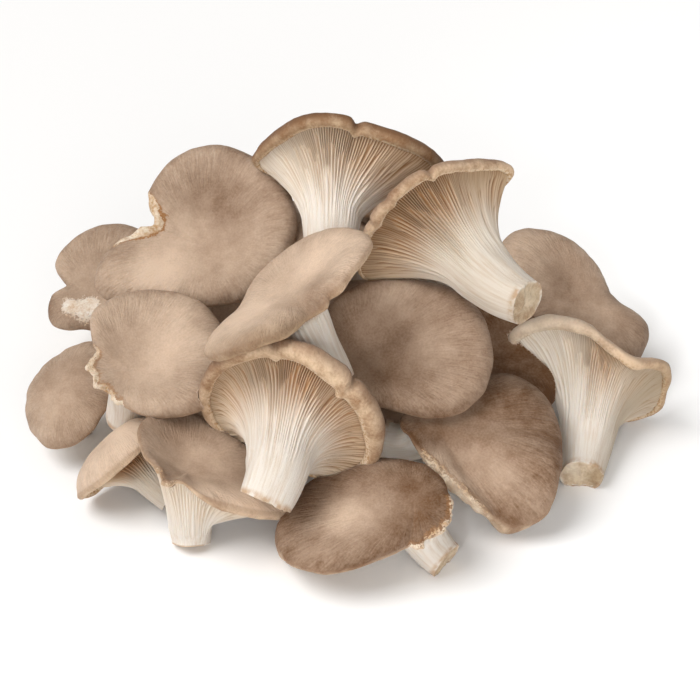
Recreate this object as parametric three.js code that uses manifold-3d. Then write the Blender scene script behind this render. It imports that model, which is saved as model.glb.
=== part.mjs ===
// A heap of picked oyster mushrooms, in millimetres, +Z up, resting on the plane z = 0.
//
// Every mushroom is one solid: a cut stem that flares into a gilled underside, a rolled
// lip round the margin, and a cap whose top dips towards the stem. Each is drawn upright
// in its own frame, where the origin is the neck (the top of the stem), +Z is up through
// the cap and +X is an angle of 0 round the margin, and is then laid in the heap.
import * as THREE from "three";
import { mergeVertices } from "three/addons/utils/BufferGeometryUtils.js";
import Module from "manifold-3d";

const wasm = await Module();
wasm.setup();

// ---- Driving dimensions -----------------------------------------------------------
const GAP = 0.35; // clear space left where two mushrooms press on each other
const GILL_DEPTH = 1.3; // height of a gill near the margin
const STEM_RIB = 0.3; // height of the same ridge where it runs down the stem
const RIM_WAVE = 0.35; // size of each wave that keeps a margin from being a true curve
const TEAR_WAVE = 0.5; // the same for a torn stretch of it
const TEAR_FADE = 6; // degrees over which a torn stretch runs out
const TEAR_FLAT = 0.75; // how much of its downward curl a torn margin loses
const LEAST_OVERHANG = 3; // a margin is never nearer than this to the side of the neck
const SHORT_OVERHANG = 5; // up to here the gills run on from the lip
const WIDE_OVERHANG = 14; // and from here they start well inside it
const THINNEST_LIP = 1.2; // a short side has a thin lip
const LIP_SHARE = 0.42; // which takes up at most this much of the overhang
const TOP_LEVEL = 0.36; // share of the way out over which the top stays level
const GILL_SLOPE_RUN = 0.45; // share of the underside that keeps the slope at its outer end
const SWELL = [0.05, 0.03]; // how far a cut end is from round, in twofold and threefold waves

const TAU = 2 * Math.PI;
const DEG = Math.PI / 180;

// The rings of points a mushroom is made of, from the crown to the cut end: the stretch
// of skin each lies on, and how far along it.
const ROWS = [
  ["top", 0.3], ["top", 0.6], ["top", 0.85], ["lip", 0.12], ["lip", 0.5], ["lip", 1],
  ["under", 1], ["under", 0.7], ["under", 0.38], ["under", 0], ["stem", 0.5], ["stem", 1],
];

// Colours: some mushrooms lie cap up and others show their gills.
const SKIN = {
  cap: { color: 0xae967d, roughness: 0.75, metalness: 0 },
  gills: { color: 0xe6d6c0, roughness: 0.7, metalness: 0 },
};

// ---- The mushrooms -----------------------------------------------------------------
// at: place of the neck; up: the way its cap faces; front: the way its angle 0 faces
// gills: how many ridges run down from the margin
// rim: [angle in degrees, reach from the stem axis, height over the neck] round the margin
// neck, foot, stem: radius at the neck, radius at the cut end, length between them
// lean, leanTo: how far the stem bends in degrees, and towards which angle
// dip: height of the cap's middle over the neck; lip: thickness of the margin
// curl: how steeply the margin turns down; shoulder: how broadly, as a share of the reach
// flare: how far up the gills stay upright; open: slope of the gills at their outer ends
// margin: [angle, lip, curl, open], where these three change round the mushroom
// splits: [angle, depth, half width] of notches in the margin; torn: [angle, half width]
// The first in the list keep their form where two press together, and the later ones give.
const SPECS = {
  front_gills: {
    at: [-23.5, -63.5, 38], up: [0.12, 0.98, 0.17], front: [0, -0.17, 0.98], gills: 26,
    rim: [[0, 33, 25], [45, 33, 20.5], [90, 32.5, 19.5], [113, 33.2, 17], [127, 30.5, 12.5],
      [142, 25.5, 12], [157, 20.5, 13.5], [190, 22, 18], [225, 26.5, 23], [250, 30, 25],
      [270, 31.3, 26], [315, 30.5, 26.5]],
    margin: [[0, 7.2, 70, 0], [45, 8, 70, -5], [90, 7.5, 70, -5], [115, 4.6, 66, 0], [150, 3, 60, 5],
      [225, 3, 60, 5], [270, 4, 80, -8], [315, 5.5, 80, -5]],
    neck: 10.5, foot: 8.7, stem: 14, lean: 42, leanTo: 208, dip: 19,
    curl: 70, shoulder: 0.22, lip: 7.4, flare: 0.55, open: -5,
    splits: [[352, 1.5, 3], [46, 2, 3]],
    skin: "gills",
  },
  top_gills: {
    at: [-6.5, 17, 81.5], up: [0.03, 0.9, 0.43], front: [0, -0.43, 0.9], gills: 26,
    rim: [[0, 32, 24], [20, 32, 22.5], [45, 36, 20], [80, 40, 19], [97, 34, 21], [112, 23, 20],
      [130, 15, 18], [180, 13.5, 17], [238, 13.5, 17], [258, 20, 22], [272, 28.5, 24.5],
      [290, 28.5, 24], [315, 27.5, 25]],
    margin: [[0, 5.6, 48, 26], [45, 5.6, 48, 24], [85, 4.5, 45, 22], [120, 2.4, 40, 30],
      [240, 2.2, 40, 32], [272, 3.2, 40, 30], [315, 5.4, 48, 26]],
    neck: 10, foot: 8, stem: 20, lean: 18, leanTo: 180, dip: 14,
    curl: 50, shoulder: 0.2, lip: 4.6, flare: 0.38, open: 30,
    splits: [[16, 2.5, 3]],
    skin: "gills",
  },
  upper_right_gills: {
    at: [44.5, -6, 77], up: [-0.53, 0.81, 0.24], front: [-0.33, -0.46, 0.82], gills: 26,
    rim: [[0, 31, 27.5], [22, 28, 27], [45, 26, 26.4], [70, 28, 26], [90, 31, 25], [105, 24, 25],
      [125, 14, 19], [180, 13, 17], [235, 18, 23], [270, 32, 27], [315, 30, 29]],
    margin: [[0, 5, 48, 22], [45, 4.8, 48, 24], [90, 4, 42, 28], [125, 2.2, 38, 32],
      [200, 2.2, 38, 32], [250, 3, 42, 25], [315, 5, 48, 20]],
    neck: 11, foot: 7.6, stem: 23, lean: 22, leanTo: 70, dip: 16,
    curl: 50, shoulder: 0.2, lip: 4.4, flare: 0.4, open: 30,
    splits: [[13, 2.2, 3], [338, 1.3, 3], [318, 1.2, 3]],
    skin: "gills",
  },
  right_side_gills: {
    at: [85.5, -10.5, 10.5], up: [0.2, 0.89, 0.4], front: [0.1, -0.42, 0.9], gills: 26,
    rim: [[0, 20, 27.3], [32, 20.6, 24.5], [60, 25.6, 28], [90, 27.2, 27], [108, 28, 23],
      [126, 24.5, 20.5], [148, 17, 18], [180, 13.4, 18], [235, 15, 24], [255, 26, 28.5],
      [275, 34, 30.5], [300, 30, 33.5], [330, 23, 33.5]],
    margin: [[0, 4.8, 45, 20], [45, 4.2, 42, 20], [90, 2.8, 40, 25], [130, 2.2, 35, 20],
      [180, 2, 35, 24], [250, 2.4, 36, 22], [290, 4.8, 48, 18], [330, 5, 48, 16]],
    neck: 10, foot: 7.3, stem: 20, lean: 18, leanTo: 0, dip: 18.5,
    curl: 50, shoulder: 0.27, lip: 4.4, flare: 0.38, open: 30,
    skin: "gills",
  },
  pale_folded_cap: {
    at: [-15.5, -28, 71.5], up: [-0.4, 0.09, 0.91], front: [-0.86, -0.37, -0.35], gills: 18,
    rim: [[0, 33.7, 7.5], [45, 25.8, 9.9], [75, 15.9, 7.4], [100, 13.9, 6.9], [135, 22.8, 12.9],
      [180, 31.7, 13.9], [225, 30.7, 14.9], [270, 26.8, 10.9], [315, 24.8, 6.9]],
    margin: [[0, 4.6, 55, 0], [45, 5, 50, 5], [80, 4.6, 45, 8], [120, 4, 45, 8], [180, 3.2, 45, 5],
      [270, 3, 45, 0]],
    neck: 8.5, foot: 6.1, stem: 25.8, lean: 15, leanTo: 90, dip: 9.9,
    curl: 45, shoulder: 0.25, lip: 3, flare: 0.5, open: 5,
    splits: [[122, 2.5, 5]],
  },
  dark_middle_cap: {
    at: [3.5, -14, 44.5], up: [0.15, -0.56, 0.82], front: [0.99, -0.09, -0.12], gills: 12,
    rim: [[0, 44.4, 10.1], [35, 43.4, 10.1], [70, 31.3, 10.1], [115, 22.2, 10.1], [180, 16.2, 8.1],
      [225, 16.7, 8.1], [270, 18.2, 8.1], [305, 23.7, 9.1], [335, 37.9, 10.1]],
    neck: 7.1, foot: 7.1, stem: 24.2, lean: 20, leanTo: 180, dip: 6.1,
    curl: 60, shoulder: 0.3, lip: 3.4, flare: 0.5, open: -10,
  },
  upper_left_cap: {
    at: [-52.5, 29.5, 62.5], up: [-0.1, -0.56, 0.82], front: [1, -0.08, 0.06], gills: 11,
    rim: [[0, 32.2, 10.1], [45, 35.8, 12.1], [85, 35.8, 12.1], [112, 32.2, 12.1], [135, 27.2, 11.1],
      [147, 23.7, 10.6], [156, 18.1, 10.1], [166, 19.1, 10.1], [182, 31.2, 9.1], [205, 40.3, 8.1],
      [235, 30.2, 7.1], [270, 24.2, 7.1], [315, 29.2, 8.1]],
    neck: 8.1, foot: 7.1, stem: 24.2, lean: 20, leanTo: 180, dip: 5,
    curl: 60, shoulder: 0.3, lip: 3.6, flare: 0.5, open: -10,
    torn: [[160, 22]],
  },
  far_left_lobed_cap: {
    at: [-96.5, 56.5, 23], up: [-0.2, -0.51, 0.84], front: [0.98, -0.16, 0.11], gills: 11,
    rim: [[0, 22.5, 6.1], [45, 29.7, 6.1], [90, 29.7, 6.1], [120, 26.6, 6.1], [145, 22.5, 6.1],
      [163, 13.3, 5.1], [185, 17.4, 6.1], [220, 19.4, 6.1], [260, 15.4, 6.1], [315, 18.4, 6.1]],
    neck: 6.1, foot: 6.1, stem: 20.5, lean: 10, leanTo: 180, dip: 6.1,
    curl: 60, shoulder: 0.3, lip: 3.1, flare: 0.5, open: -10,
  },
  left_torn_cap: {
    at: [-76, -20.5, 41.5], up: [0.05, -0.42, 0.91], front: [1, 0.04, -0.03], gills: 12,
    rim: [[0, 33.5, 8], [40, 36, 8], [75, 32, 8], [105, 28, 8], [122, 25.5, 9], [150, 13.5, 8],
      [180, 12.5, 7], [210, 12, 6.5], [235, 11.6, 6], [270, 14, 6], [300, 21, 7], [325, 29.5, 8]],
    neck: 8.2, foot: 7.6, stem: 24, lean: 24, leanTo: 240, dip: 6,
    curl: 60, shoulder: 0.3, lip: 3.4, flare: 0.5, open: -10,
    torn: [[205, 60]],
  },
  low_left_cap: {
    at: [-99, -1.5, 15], up: [-0.3, -0.38, 0.88], front: [0.95, -0.18, 0.24], gills: 11,
    rim: [[0, 17.1, 6], [45, 21.2, 6], [75, 24.2, 6], [110, 21.2, 6], [150, 18.1, 6], [190, 17.1, 6],
      [230, 18.1, 6], [255, 20.2, 6], [300, 17.1, 6]],
    neck: 6.6, foot: 6, stem: 13.1, lean: 40, leanTo: 170, dip: 14.1,
    curl: 68, shoulder: 0.35, lip: 3.2, flare: 0.5, open: -10,
  },
  small_tilted_cap: {
    at: [-68, -39, 12], up: [-0.62, 0.43, 0.65], front: [0, -0.82, 0.57], gills: 17,
    rim: [[0, 16.1, 12.1], [45, 15.6, 12.6], [90, 15.6, 13.1], [135, 15.6, 13.1], [180, 16.1, 12.1],
      [225, 20.1, 11.6], [270, 24.1, 11.6], [315, 20.1, 11.6]],
    neck: 6.8, foot: 6, stem: 9, lean: 14, leanTo: 90, dip: 21.6,
    curl: 66, shoulder: 0.42, lip: 3.6, flare: 0.35, open: -8,
  },
  small_funnel_cap: {
    at: [-54, -58.5, 8], up: [0, 0.08, 1], front: [1, 0, 0], gills: 18,
    rim: [[0, 35, 8], [22, 31, 13], [45, 27, 18], [90, 26, 28], [135, 21, 32.5], [180, 14.5, 30],
      [215, 11.5, 28], [240, 11.5, 26], [270, 11.5, 24.5], [315, 20, 19]],
    margin: [[0, 5, 55, 10], [45, 3.4, 45, 15], [180, 2.8, 25, 22], [240, 2.8, 20, 22],
      [290, 4.2, 35, 15], [330, 5.4, 55, 10]],
    neck: 7.2, foot: 6.2, stem: 7, lean: 24, leanTo: 268, dip: 21.5,
    curl: 25, shoulder: 0.2, lip: 2.8, flare: 0.25, open: 22,
    torn: [[236, 22]],
  },
  front_low_cap: {
    at: [22, -70, 19.5], up: [-0.1, -0.3, 0.95], front: [-0.97, 0.22, -0.03], gills: 14,
    rim: [[0, 48, -4], [25, 46, 0], [45, 37, 5], [65, 22, 6], [90, 13, 6], [135, 12, 7],
      [180, 12, 8], [225, 12.5, 8], [270, 18.5, 4.5], [315, 31, 0]],
    neck: 9, foot: 6.6, stem: 20, lean: 78, leanTo: 150, dip: 10,
    curl: 50, shoulder: 0.25, lip: 3.2, flare: 0.5, open: -10,
    torn: [[150, 60]],
  },
  right_low_cap: {
    at: [27, -29.5, 25.5], up: [0.1, -0.42, 0.9], front: [0.9, -0.32, -0.28], gills: 14,
    rim: [[0, 48, 9], [20, 45.5, 6], [45, 44, 2], [65, 38, 0], [85, 22, 1], [110, 12, 4],
      [135, 10, 6], [180, 9.6, 6], [225, 10, 7], [250, 10.5, 9], [280, 14, 11], [300, 20, 11.5],
      [318, 30, 9.5], [333, 44, 1.5], [345, 50, 4]],
    margin: [[0, 3.2, 50, -10], [60, 3.2, 50, -10], [120, 3, 50, -10], [240, 3.2, 30, 0],
      [285, 5.6, -12, 8], [315, 6, -12, 8], [335, 4, 35, -5]],
    neck: 6.5, foot: 6.6, stem: 23, lean: 88, leanTo: 190, dip: 8,
    curl: 50, shoulder: 0.25, lip: 3.2, flare: 0.5, open: -10,
    torn: [[300, 24]],
  },
  far_right_cap: {
    at: [86, 45, 22.5], up: [0.25, -0.39, 0.89], front: [0.96, -0.02, -0.28], gills: 12,
    rim: [[0, 27.4, 4.1], [25, 18.3, 5.1], [50, 16.3, 6.1], [80, 22.4, 6.1], [105, 31.5, 6.1],
      [135, 40.7, 6.1], [160, 36.6, 5.1], [180, 30.5, 4.1], [225, 22.4, 4.1], [270, 20.3, 4.1],
      [315, 26.4, 4.1]],
    neck: 7.1, foot: 7.1, stem: 20.3, lean: 10, leanTo: 180, dip: 10.2,
    curl: 65, shoulder: 0.35, lip: 3.5, flare: 0.5, open: -10,
  },
  shaded_cap: {
    at: [60, 17, 20], up: [0.05, -0.42, 0.91], front: [1, 0, 0], gills: 11,
    rim: [[0, 19.5, 6.2], [45, 17.4, 6.2], [90, 21.6, 6.2], [135, 23.6, 6.2], [180, 25.7, 6.2],
      [225, 25.7, 6.2], [270, 23.6, 6.2], [315, 21.6, 6.2]],
    neck: 7.2, foot: 7.2, stem: 18.5, lean: 10, leanTo: 180, dip: 9.2,
    curl: 65, shoulder: 0.3, lip: 3.5, flare: 0.5, open: -10,
  },
  back_left_cap: {
    at: [-52, 57.5, 23], up: [-0.25, 0.5, 0.83], front: [-1, 0, -0.2], gills: 9,
    rim: [[0, 27, 4], [60, 30, 6], [120, 26, 8], [180, 28, 8], [240, 30, 4], [300, 30, 2]],
    neck: 7, foot: 7, stem: 24, lean: 20, leanTo: 90, dip: 9,
    curl: 60, shoulder: 0.3, lip: 3.4, flare: 0.5, open: -10,
  },
  back_middle_cap: {
    at: [0, 63.5, 46], up: [0.05, 0.62, 0.78], front: [0, 0.78, -0.62], gills: 9,
    rim: [[0, 31, 4], [60, 33, 6], [120, 28, 8], [180, 26, 9], [240, 28, 8], [300, 33, 6]],
    neck: 7.5, foot: 7, stem: 30, lean: 20, leanTo: 0, dip: 10,
    curl: 55, shoulder: 0.3, lip: 3.6, flare: 0.5, open: -10,
  },
  back_right_cap: {
    at: [40, 65.5, 20], up: [0.15, 0.6, 0.78], front: [0, 0.78, -0.6], gills: 9,
    rim: [[0, 24, 2], [60, 27, 4], [120, 28, 5], [180, 24, 8], [240, 26, 6], [300, 26, 3]],
    neck: 7, foot: 6.5, stem: 22, lean: 20, leanTo: 180, dip: 9,
    curl: 65, shoulder: 0.35, lip: 3.2, flare: 0.5, open: -10,
  },
  inner_left_cap: {
    at: [-42, -0.5, 31], up: [-0.15, -0.1, 0.98], front: [-1, 0, -0.15], gills: 8,
    rim: [[0, 27, 5], [60, 30, 5], [120, 26, 6], [180, 24, 7], [240, 28, 7], [300, 28, 6]],
    neck: 8, foot: 8, stem: 31, lean: 10, leanTo: 0, dip: 10,
    curl: 60, shoulder: 0.3, lip: 3.4, flare: 0.5, open: -10,
  },
  inner_right_cap: {
    at: [14, 21.5, 28], up: [0.1, 0.05, 1], front: [1, 0, 0], gills: 8,
    rim: [[0, 25, 6], [60, 27, 8], [120, 30, 8], [180, 34, 7], [240, 32, 6], [300, 30, 6]],
    neck: 9, foot: 9, stem: 28, lean: 10, leanTo: 180, dip: 13,
    curl: 60, shoulder: 0.3, lip: 3.6, flare: 0.5, open: -10,
  },
  inner_top_cap: {
    at: [-12, 45.5, 58], up: [0.2, 0.35, 0.91], front: [1, 0, -0.2], gills: 8,
    rim: [[0, 22, 4], [60, 22, 5], [120, 22, 6], [180, 25, 5], [240, 29, 1], [300, 27, 1]],
    neck: 7, foot: 7, stem: 16, lean: 30, leanTo: 180, dip: 9,
    curl: 60, shoulder: 0.35, lip: 3.2, flare: 0.5, open: -10,
  },
  inner_front_cap: {
    at: [14, -2.5, 13], up: [0.05, -0.25, 0.97], front: [1, 0, 0], gills: 8,
    rim: [[0, 26, 3], [60, 26, 4], [120, 26, 5], [180, 28, 4], [240, 22, 3], [300, 22, 3]],
    neck: 7, foot: 7, stem: 13, lean: 10, leanTo: 90, dip: 9,
    curl: 60, shoulder: 0.35, lip: 3.2, flare: 0.5, open: -10,
  },
};

// ---- The form of one mushroom -----------------------------------------------------
// A smooth closed curve through one column of the rim rows, column 0 being the angle.
function around(rows, column, angle) {
  const n = rows.length;
  const a = ((angle / DEG) % 360 + 360) % 360;
  let here = -1;
  while (here + 1 < n && rows[here + 1][0] <= a) here++;
  const knot = (j) => {
    const turn = Math.floor(j / n);
    const row = rows[j - turn * n];
    return [row[0] + 360 * turn, row[column]];
  };
  const [p0, p1, p2, p3] = [knot(here - 1), knot(here), knot(here + 1), knot(here + 2)];
  const span = p2[0] - p1[0];
  const t = (a - p1[0]) / span;
  const slope1 = ((p2[1] - p0[1]) / (p2[0] - p0[0])) * span;
  const slope2 = ((p3[1] - p1[1]) / (p3[0] - p1[0])) * span;
  const [t2, t3] = [t * t, t * t * t];
  return (2 * t3 - 3 * t2 + 1) * p1[1] + (t3 - 2 * t2 + t) * slope1
    + (3 * t2 - 2 * t3) * p2[1] + (t3 - t2) * slope2;
}

// How far an angle is from another, in degrees, the short way round.
function apart(angle, degrees) {
  const away = Math.abs(angle / DEG - degrees) % 360;
  return Math.min(away, 360 - away);
}

function bezier(p, t) {
  const s = 1 - t;
  const w = [s ** 3, 3 * s * s * t, 3 * s * t * t, t ** 3];
  return [0, 1].map((i) => w[0] * p[0][i] + w[1] * p[1][i] + w[2] * p[2][i] + w[3] * p[3][i]);
}

// A fixed irregular wave round the margin, made of harmonics from..to.
function ripple(seed, angle, from, to, size) {
  let sum = 0;
  for (let k = from; k <= to; k++) {
    sum += Math.sin(k * angle + seed * k * 2.4 + k * k) / Math.sqrt(k - from + 1);
  }
  return sum * size;
}

// The lip's thickness, its curl and the slope of the gills at an angle.
function margin(m, angle) {
  if (!m.margin) return [m.lip, m.curl, m.open];
  return [1, 2, 3].map((column) => around(m.margin, column, angle));
}

// One meridian of a mushroom: the control points of its top and underside, and its lip.
function meridian(m, angle) {
  let torn = 0;
  for (const [where, half] of m.torn ?? []) {
    torn = Math.max(torn, Math.min(1, Math.max(0, (half - apart(angle, where)) / TEAR_FADE + 0.5)));
  }
  let reach = around(m.rim, 1, angle) + ripple(m.seed, angle, 3, 6, RIM_WAVE);
  reach += torn * ripple(m.seed, angle, 8, 12, TEAR_WAVE);
  for (const [where, depth, half] of m.splits ?? []) {
    reach -= depth * Math.exp(-((apart(angle, where) / half) ** 2));
  }
  reach = Math.max(reach, m.neck + LEAST_OVERHANG);
  const overhang = reach - m.neck;
  const height = around(m.rim, 2, angle) + ripple(m.seed + 5, angle, 3, 6, RIM_WAVE);
  const [thick, droop, slope] = margin(m, angle);
  const lip = Math.min(thick, Math.max(THINNEST_LIP, LIP_SHARE * overhang));
  const curl = -droop * DEG * (1 - TEAR_FLAT * torn);
  const out = [Math.cos(curl), Math.sin(curl)];
  const over = [-out[1], out[0]];
  const edge = [reach, height];
  const pull = m.shoulder * reach;
  const top = [
    [0, m.dip],
    [TOP_LEVEL * reach, m.dip],
    [edge[0] - out[0] * pull, edge[1] - out[1] * pull],
    edge,
  ];
  // On a wide side the gills start inside the lip; on a short one they run on from it.
  const share = (overhang - SHORT_OVERHANG) / (WIDE_OVERHANG - SHORT_OVERHANG);
  const wing = Math.min(1, Math.max(0, share));
  const inside = [0, 1].map((i) => edge[i] - (over[i] * 0.75 + out[i] * 0.25) * lip);
  const onward = [edge[0] - (over[0] + 0.25) * lip, edge[1] - (over[1] + 0.1) * lip];
  const gillEnd = [0, 1].map((i) => onward[i] + (inside[i] - onward[i]) * wing);
  gillEnd[0] = Math.max(gillEnd[0], m.neck + 0.6);
  const open = slope * DEG;
  const run = GILL_SLOPE_RUN * (gillEnd[0] - m.neck);
  const under = [
    [m.neck, 0],
    [m.neck, m.flare * Math.max(gillEnd[1], 3)],
    [gillEnd[0] - run * Math.cos(open), gillEnd[1] - run * Math.sin(open)],
    gillEnd,
  ];
  return { top, under, edge, out, over, lip, wing };
}

// A point of the skin as radius and height: row names the stretch, t how far along it.
function skin(m, angle, row, t) {
  const c = meridian(m, angle);
  const crest = 0.5 + 0.5 * Math.cos(m.gills * angle);
  if (row === "top") return bezier(c.top, t);
  if (row === "lip") {
    const a = (90 - 180 * t) * DEG;
    const w = c.lip / 2;
    return [0, 1].map((i) => c.edge[i] + w * (c.out[i] * Math.cos(a) + c.over[i] * (Math.sin(a) - 1)));
  }
  if (row === "under") {
    const p = bezier(c.under, t);
    const q = bezier(c.under, Math.min(1, t + 0.01));
    const o = bezier(c.under, Math.max(0, t - 0.01));
    const along = [q[0] - o[0], q[1] - o[1]];
    const fade = t === 1 ? 0.3 : Math.min(1, 1.6 * t) * c.wing;
    const rise = ((STEM_RIB + (GILL_DEPTH - STEM_RIB) * fade) * crest) / Math.hypot(...along);
    return [p[0] + along[1] * rise, p[1] - along[0] * rise];
  }
  const swell = SWELL[0] * Math.cos(2 * angle + m.seed) + SWELL[1] * Math.cos(3 * angle + 2 * m.seed);
  const radius = m.neck + (m.foot - m.neck) * t + STEM_RIB * (1 - t) * crest;
  return [radius * (1 + swell * t), -m.stem * t];
}

// Bends what lies below the neck along an arc, towards the side the stem leans to.
function bent(m, p) {
  if (p.z >= 0) return p;
  const total = m.lean * DEG;
  const radius = m.stem / total;
  const side = new THREE.Vector3(Math.cos(m.leanTo * DEG), Math.sin(m.leanTo * DEG), 0);
  const off = p.x * side.x + p.y * side.y;
  const turn = (-p.z / m.stem) * total;
  const moved = radius - (radius - off) * Math.cos(turn);
  return new THREE.Vector3(p.x, p.y, -(radius - off) * Math.sin(turn)).addScaledVector(side, moved - off);
}

function mushroomGeometry(m) {
  const columns = 2 * m.gills;
  const points = [];
  for (const [row, t] of ROWS) {
    for (let j = 0; j < columns; j++) {
      const angle = (TAU * j) / columns;
      const [r, z] = skin(m, angle, row, t);
      points.push(bent(m, new THREE.Vector3(r * Math.cos(angle), r * Math.sin(angle), z)));
    }
  }
  const crown = points.push(new THREE.Vector3(0, 0, m.dip)) - 1;
  const sole = points.push(bent(m, new THREE.Vector3(0, 0, -m.stem))) - 1;
  const faces = [];
  const last = (ROWS.length - 1) * columns;
  for (let j = 0; j < columns; j++) {
    const next = (j + 1) % columns;
    faces.push(crown, j, next);
    faces.push(last + next, last + j, sole);
    for (let i = 0; i < last; i += columns) {
      faces.push(i + j, i + columns + next, i + next);
      faces.push(i + j, i + columns + j, i + columns + next);
    }
  }
  const geometry = new THREE.BufferGeometry().setFromPoints(points);
  geometry.setIndex(faces);
  return geometry;
}

// The turn and place that lay an upright mushroom in the heap.
function placing(m) {
  const z = new THREE.Vector3(...m.up).normalize();
  const x = new THREE.Vector3(...m.front);
  x.addScaledVector(z, -x.dot(z)).normalize();
  const y = new THREE.Vector3().crossVectors(z, x);
  return new THREE.Matrix4().makeBasis(x, y, z).setPosition(...m.at);
}

// ---- Cutting where mushrooms press together ----------------------------------------
// A solid for cutting, with its skin pushed out by a distance.
function solidOf(geometry, push = 0) {
  const bare = new THREE.BufferGeometry();
  bare.setAttribute("position", geometry.getAttribute("position"));
  bare.setIndex(geometry.index);
  const welded = mergeVertices(bare, 1e-4);
  welded.computeVertexNormals();
  const { position, normal } = welded.attributes;
  const points = new Float32Array(position.count * 3);
  for (let i = 0; i < position.count; i++) {
    points[3 * i] = position.getX(i) + normal.getX(i) * push;
    points[3 * i + 1] = position.getY(i) + normal.getY(i) * push;
    points[3 * i + 2] = position.getZ(i) + normal.getZ(i) * push;
  }
  const triVerts = new Uint32Array(welded.index.array);
  return new wasm.Manifold(new wasm.Mesh({ numProp: 3, vertProperties: points, triVerts }));
}

function geometryOf(solid) {
  const mesh = solid.getMesh();
  const geometry = new THREE.BufferGeometry();
  geometry.setAttribute("position", new THREE.BufferAttribute(mesh.vertProperties, 3));
  geometry.setIndex(new THREE.BufferAttribute(mesh.triVerts, 1));
  return geometry;
}

const ground = new THREE.BoxGeometry(600, 600, 100).translate(0, 0, -50);
const pressing = [solidOf(ground)];
const laid = [];
for (const [name, spec] of Object.entries(SPECS)) {
  const m = { ...spec, seed: laid.length + 1 };
  const whole = mushroomGeometry(m).applyMatrix4(placing(m));
  let solid = solidOf(whole);
  for (const other of pressing) solid = solid.subtract(other);
  const body = solid.decompose().reduce((a, b) => (a.volume() > b.volume() ? a : b));
  laid.push([name, geometryOf(body), m]);
  pressing.push(solidOf(whole, GAP).add(solidOf(whole)));
}

// ---- The heap ----------------------------------------------------------------------
const pile = new THREE.Group();
pile.name = "oyster_mushroom_cluster";
for (const [name, geometry, m] of laid) {
  const mesh = new THREE.Mesh(geometry, new THREE.MeshStandardMaterial({ ...SKIN[m.skin ?? "cap"] }));
  mesh.name = name;
  pile.add(mesh);
}
export default pile;
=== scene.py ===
import math

import bmesh
import bpy
import numpy as np
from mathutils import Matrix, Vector


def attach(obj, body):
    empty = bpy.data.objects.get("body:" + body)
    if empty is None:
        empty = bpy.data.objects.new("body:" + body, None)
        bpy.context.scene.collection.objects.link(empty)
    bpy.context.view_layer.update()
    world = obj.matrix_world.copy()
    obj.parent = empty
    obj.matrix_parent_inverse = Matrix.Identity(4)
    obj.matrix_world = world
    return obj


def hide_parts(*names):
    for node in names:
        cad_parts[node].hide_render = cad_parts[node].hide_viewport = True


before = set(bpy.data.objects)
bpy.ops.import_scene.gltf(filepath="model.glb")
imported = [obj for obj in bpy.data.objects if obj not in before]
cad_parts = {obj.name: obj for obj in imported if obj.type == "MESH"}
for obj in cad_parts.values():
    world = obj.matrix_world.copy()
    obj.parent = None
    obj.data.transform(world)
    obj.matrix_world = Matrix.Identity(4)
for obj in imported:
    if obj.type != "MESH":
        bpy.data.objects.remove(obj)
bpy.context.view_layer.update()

MM = 0.001

# ---- Driving dimensions, the same as the solids' --------------------------------------
GAP = 0.35  # clear space left where two mushrooms press on each other
GILL_DEPTH = 1.3  # height of a gill near the margin
STEM_RIB = 0.3  # height of the same ridge where it runs down the stem
RIM_WAVE = 0.35  # size of each wave that keeps a margin from being a true curve
TEAR_WAVE = 0.5  # the same for a torn stretch of it
TEAR_FADE = 6  # degrees over which a torn stretch runs out
TEAR_FLAT = 0.75  # how much of its downward curl a torn margin loses
LEAST_OVERHANG = 3  # a margin is never nearer than this to the side of the neck
SHORT_OVERHANG = 5  # up to here the gills run on from the lip
WIDE_OVERHANG = 14  # and from here they start well inside it
THINNEST_LIP = 1.2  # a short side has a thin lip
LIP_SHARE = 0.42  # which takes up at most this much of the overhang
TOP_LEVEL = 0.36  # share of the way out over which the top stays level
GILL_SLOPE_RUN = 0.45  # share of the underside that keeps the slope at its outer end
SWELL = (0.05, 0.03)  # how far a cut end is from round, in twofold and threefold waves

# ---- What only the finer skin has -----------------------------------------------------
TUCK = 42  # degrees the lip rolls on past straight down, over the ends of the gills
GILL_FORK = (0.38, 0.78)  # how far down the gills the shortest ones end, from neck to margin
GILL_SWAY = 0.012  # radians the gills wander from straight spokes
GILL_END_FALL = 0.75  # share of its height that a gill loses at the lip
GILL_END_DEPTH = 0.22  # how much deeper its end lies, as a share of the lip
TUCK_HOLLOW = 0.12  # how hollow the skin is between the lip and the gills, likewise
SLOPE_STEP = 0.01  # how far apart the underside is read to find which way it runs
CUT_DISH = 0.25  # how far the middle of a cut end is dished
FINE_TEAR = 0.12  # size of the crumbs along a torn margin
SOFT_FADE = 24  # degrees over which the curl of a lip changes beside a torn stretch
SHARP_EDGE = 75  # degrees from which an edge of the skin stays sharp
PLACE_SCALE = 0.1  # what a millimetre of skin measures in the patterns over it
PLACE_STEP = 7.3  # how far apart two mushrooms lie in the patterns, so that none are alike
PRESS_COLUMNS = 120  # fineness of the smooth form that presses on the later mushrooms
PRESS_ROWS = (12, 6, 1, 12, 5, 2)

# ---- The mushrooms --------------------------------------------------------------------
# at: place of the neck; up: the way the cap faces; front: the way its angle 0 faces
# rim: angle, reach from the stem's line and height over the neck, round the margin
# neck, foot, stem: radius at the neck, radius at the cut end, length between them
# lean, lean_to: how far the stem bends in degrees, and towards which angle
# dip: height of the crown over the neck; lip: thickness of the margin
# curl: how steeply the margin turns down; shoulder: how broadly, as a share of the reach
# flare: how far up the gills stay upright; open: slope of the gills at their outer ends
# margin: angle, lip, curl and open, where these three change round the mushroom
# splits: angle, depth and half width of notches; torn: angle and half width
# The first in the list keep their form where two press together, and the later ones give.
COMMON = dict(flare=0.5, open=-10)  # for the mushrooms that say nothing else

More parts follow.
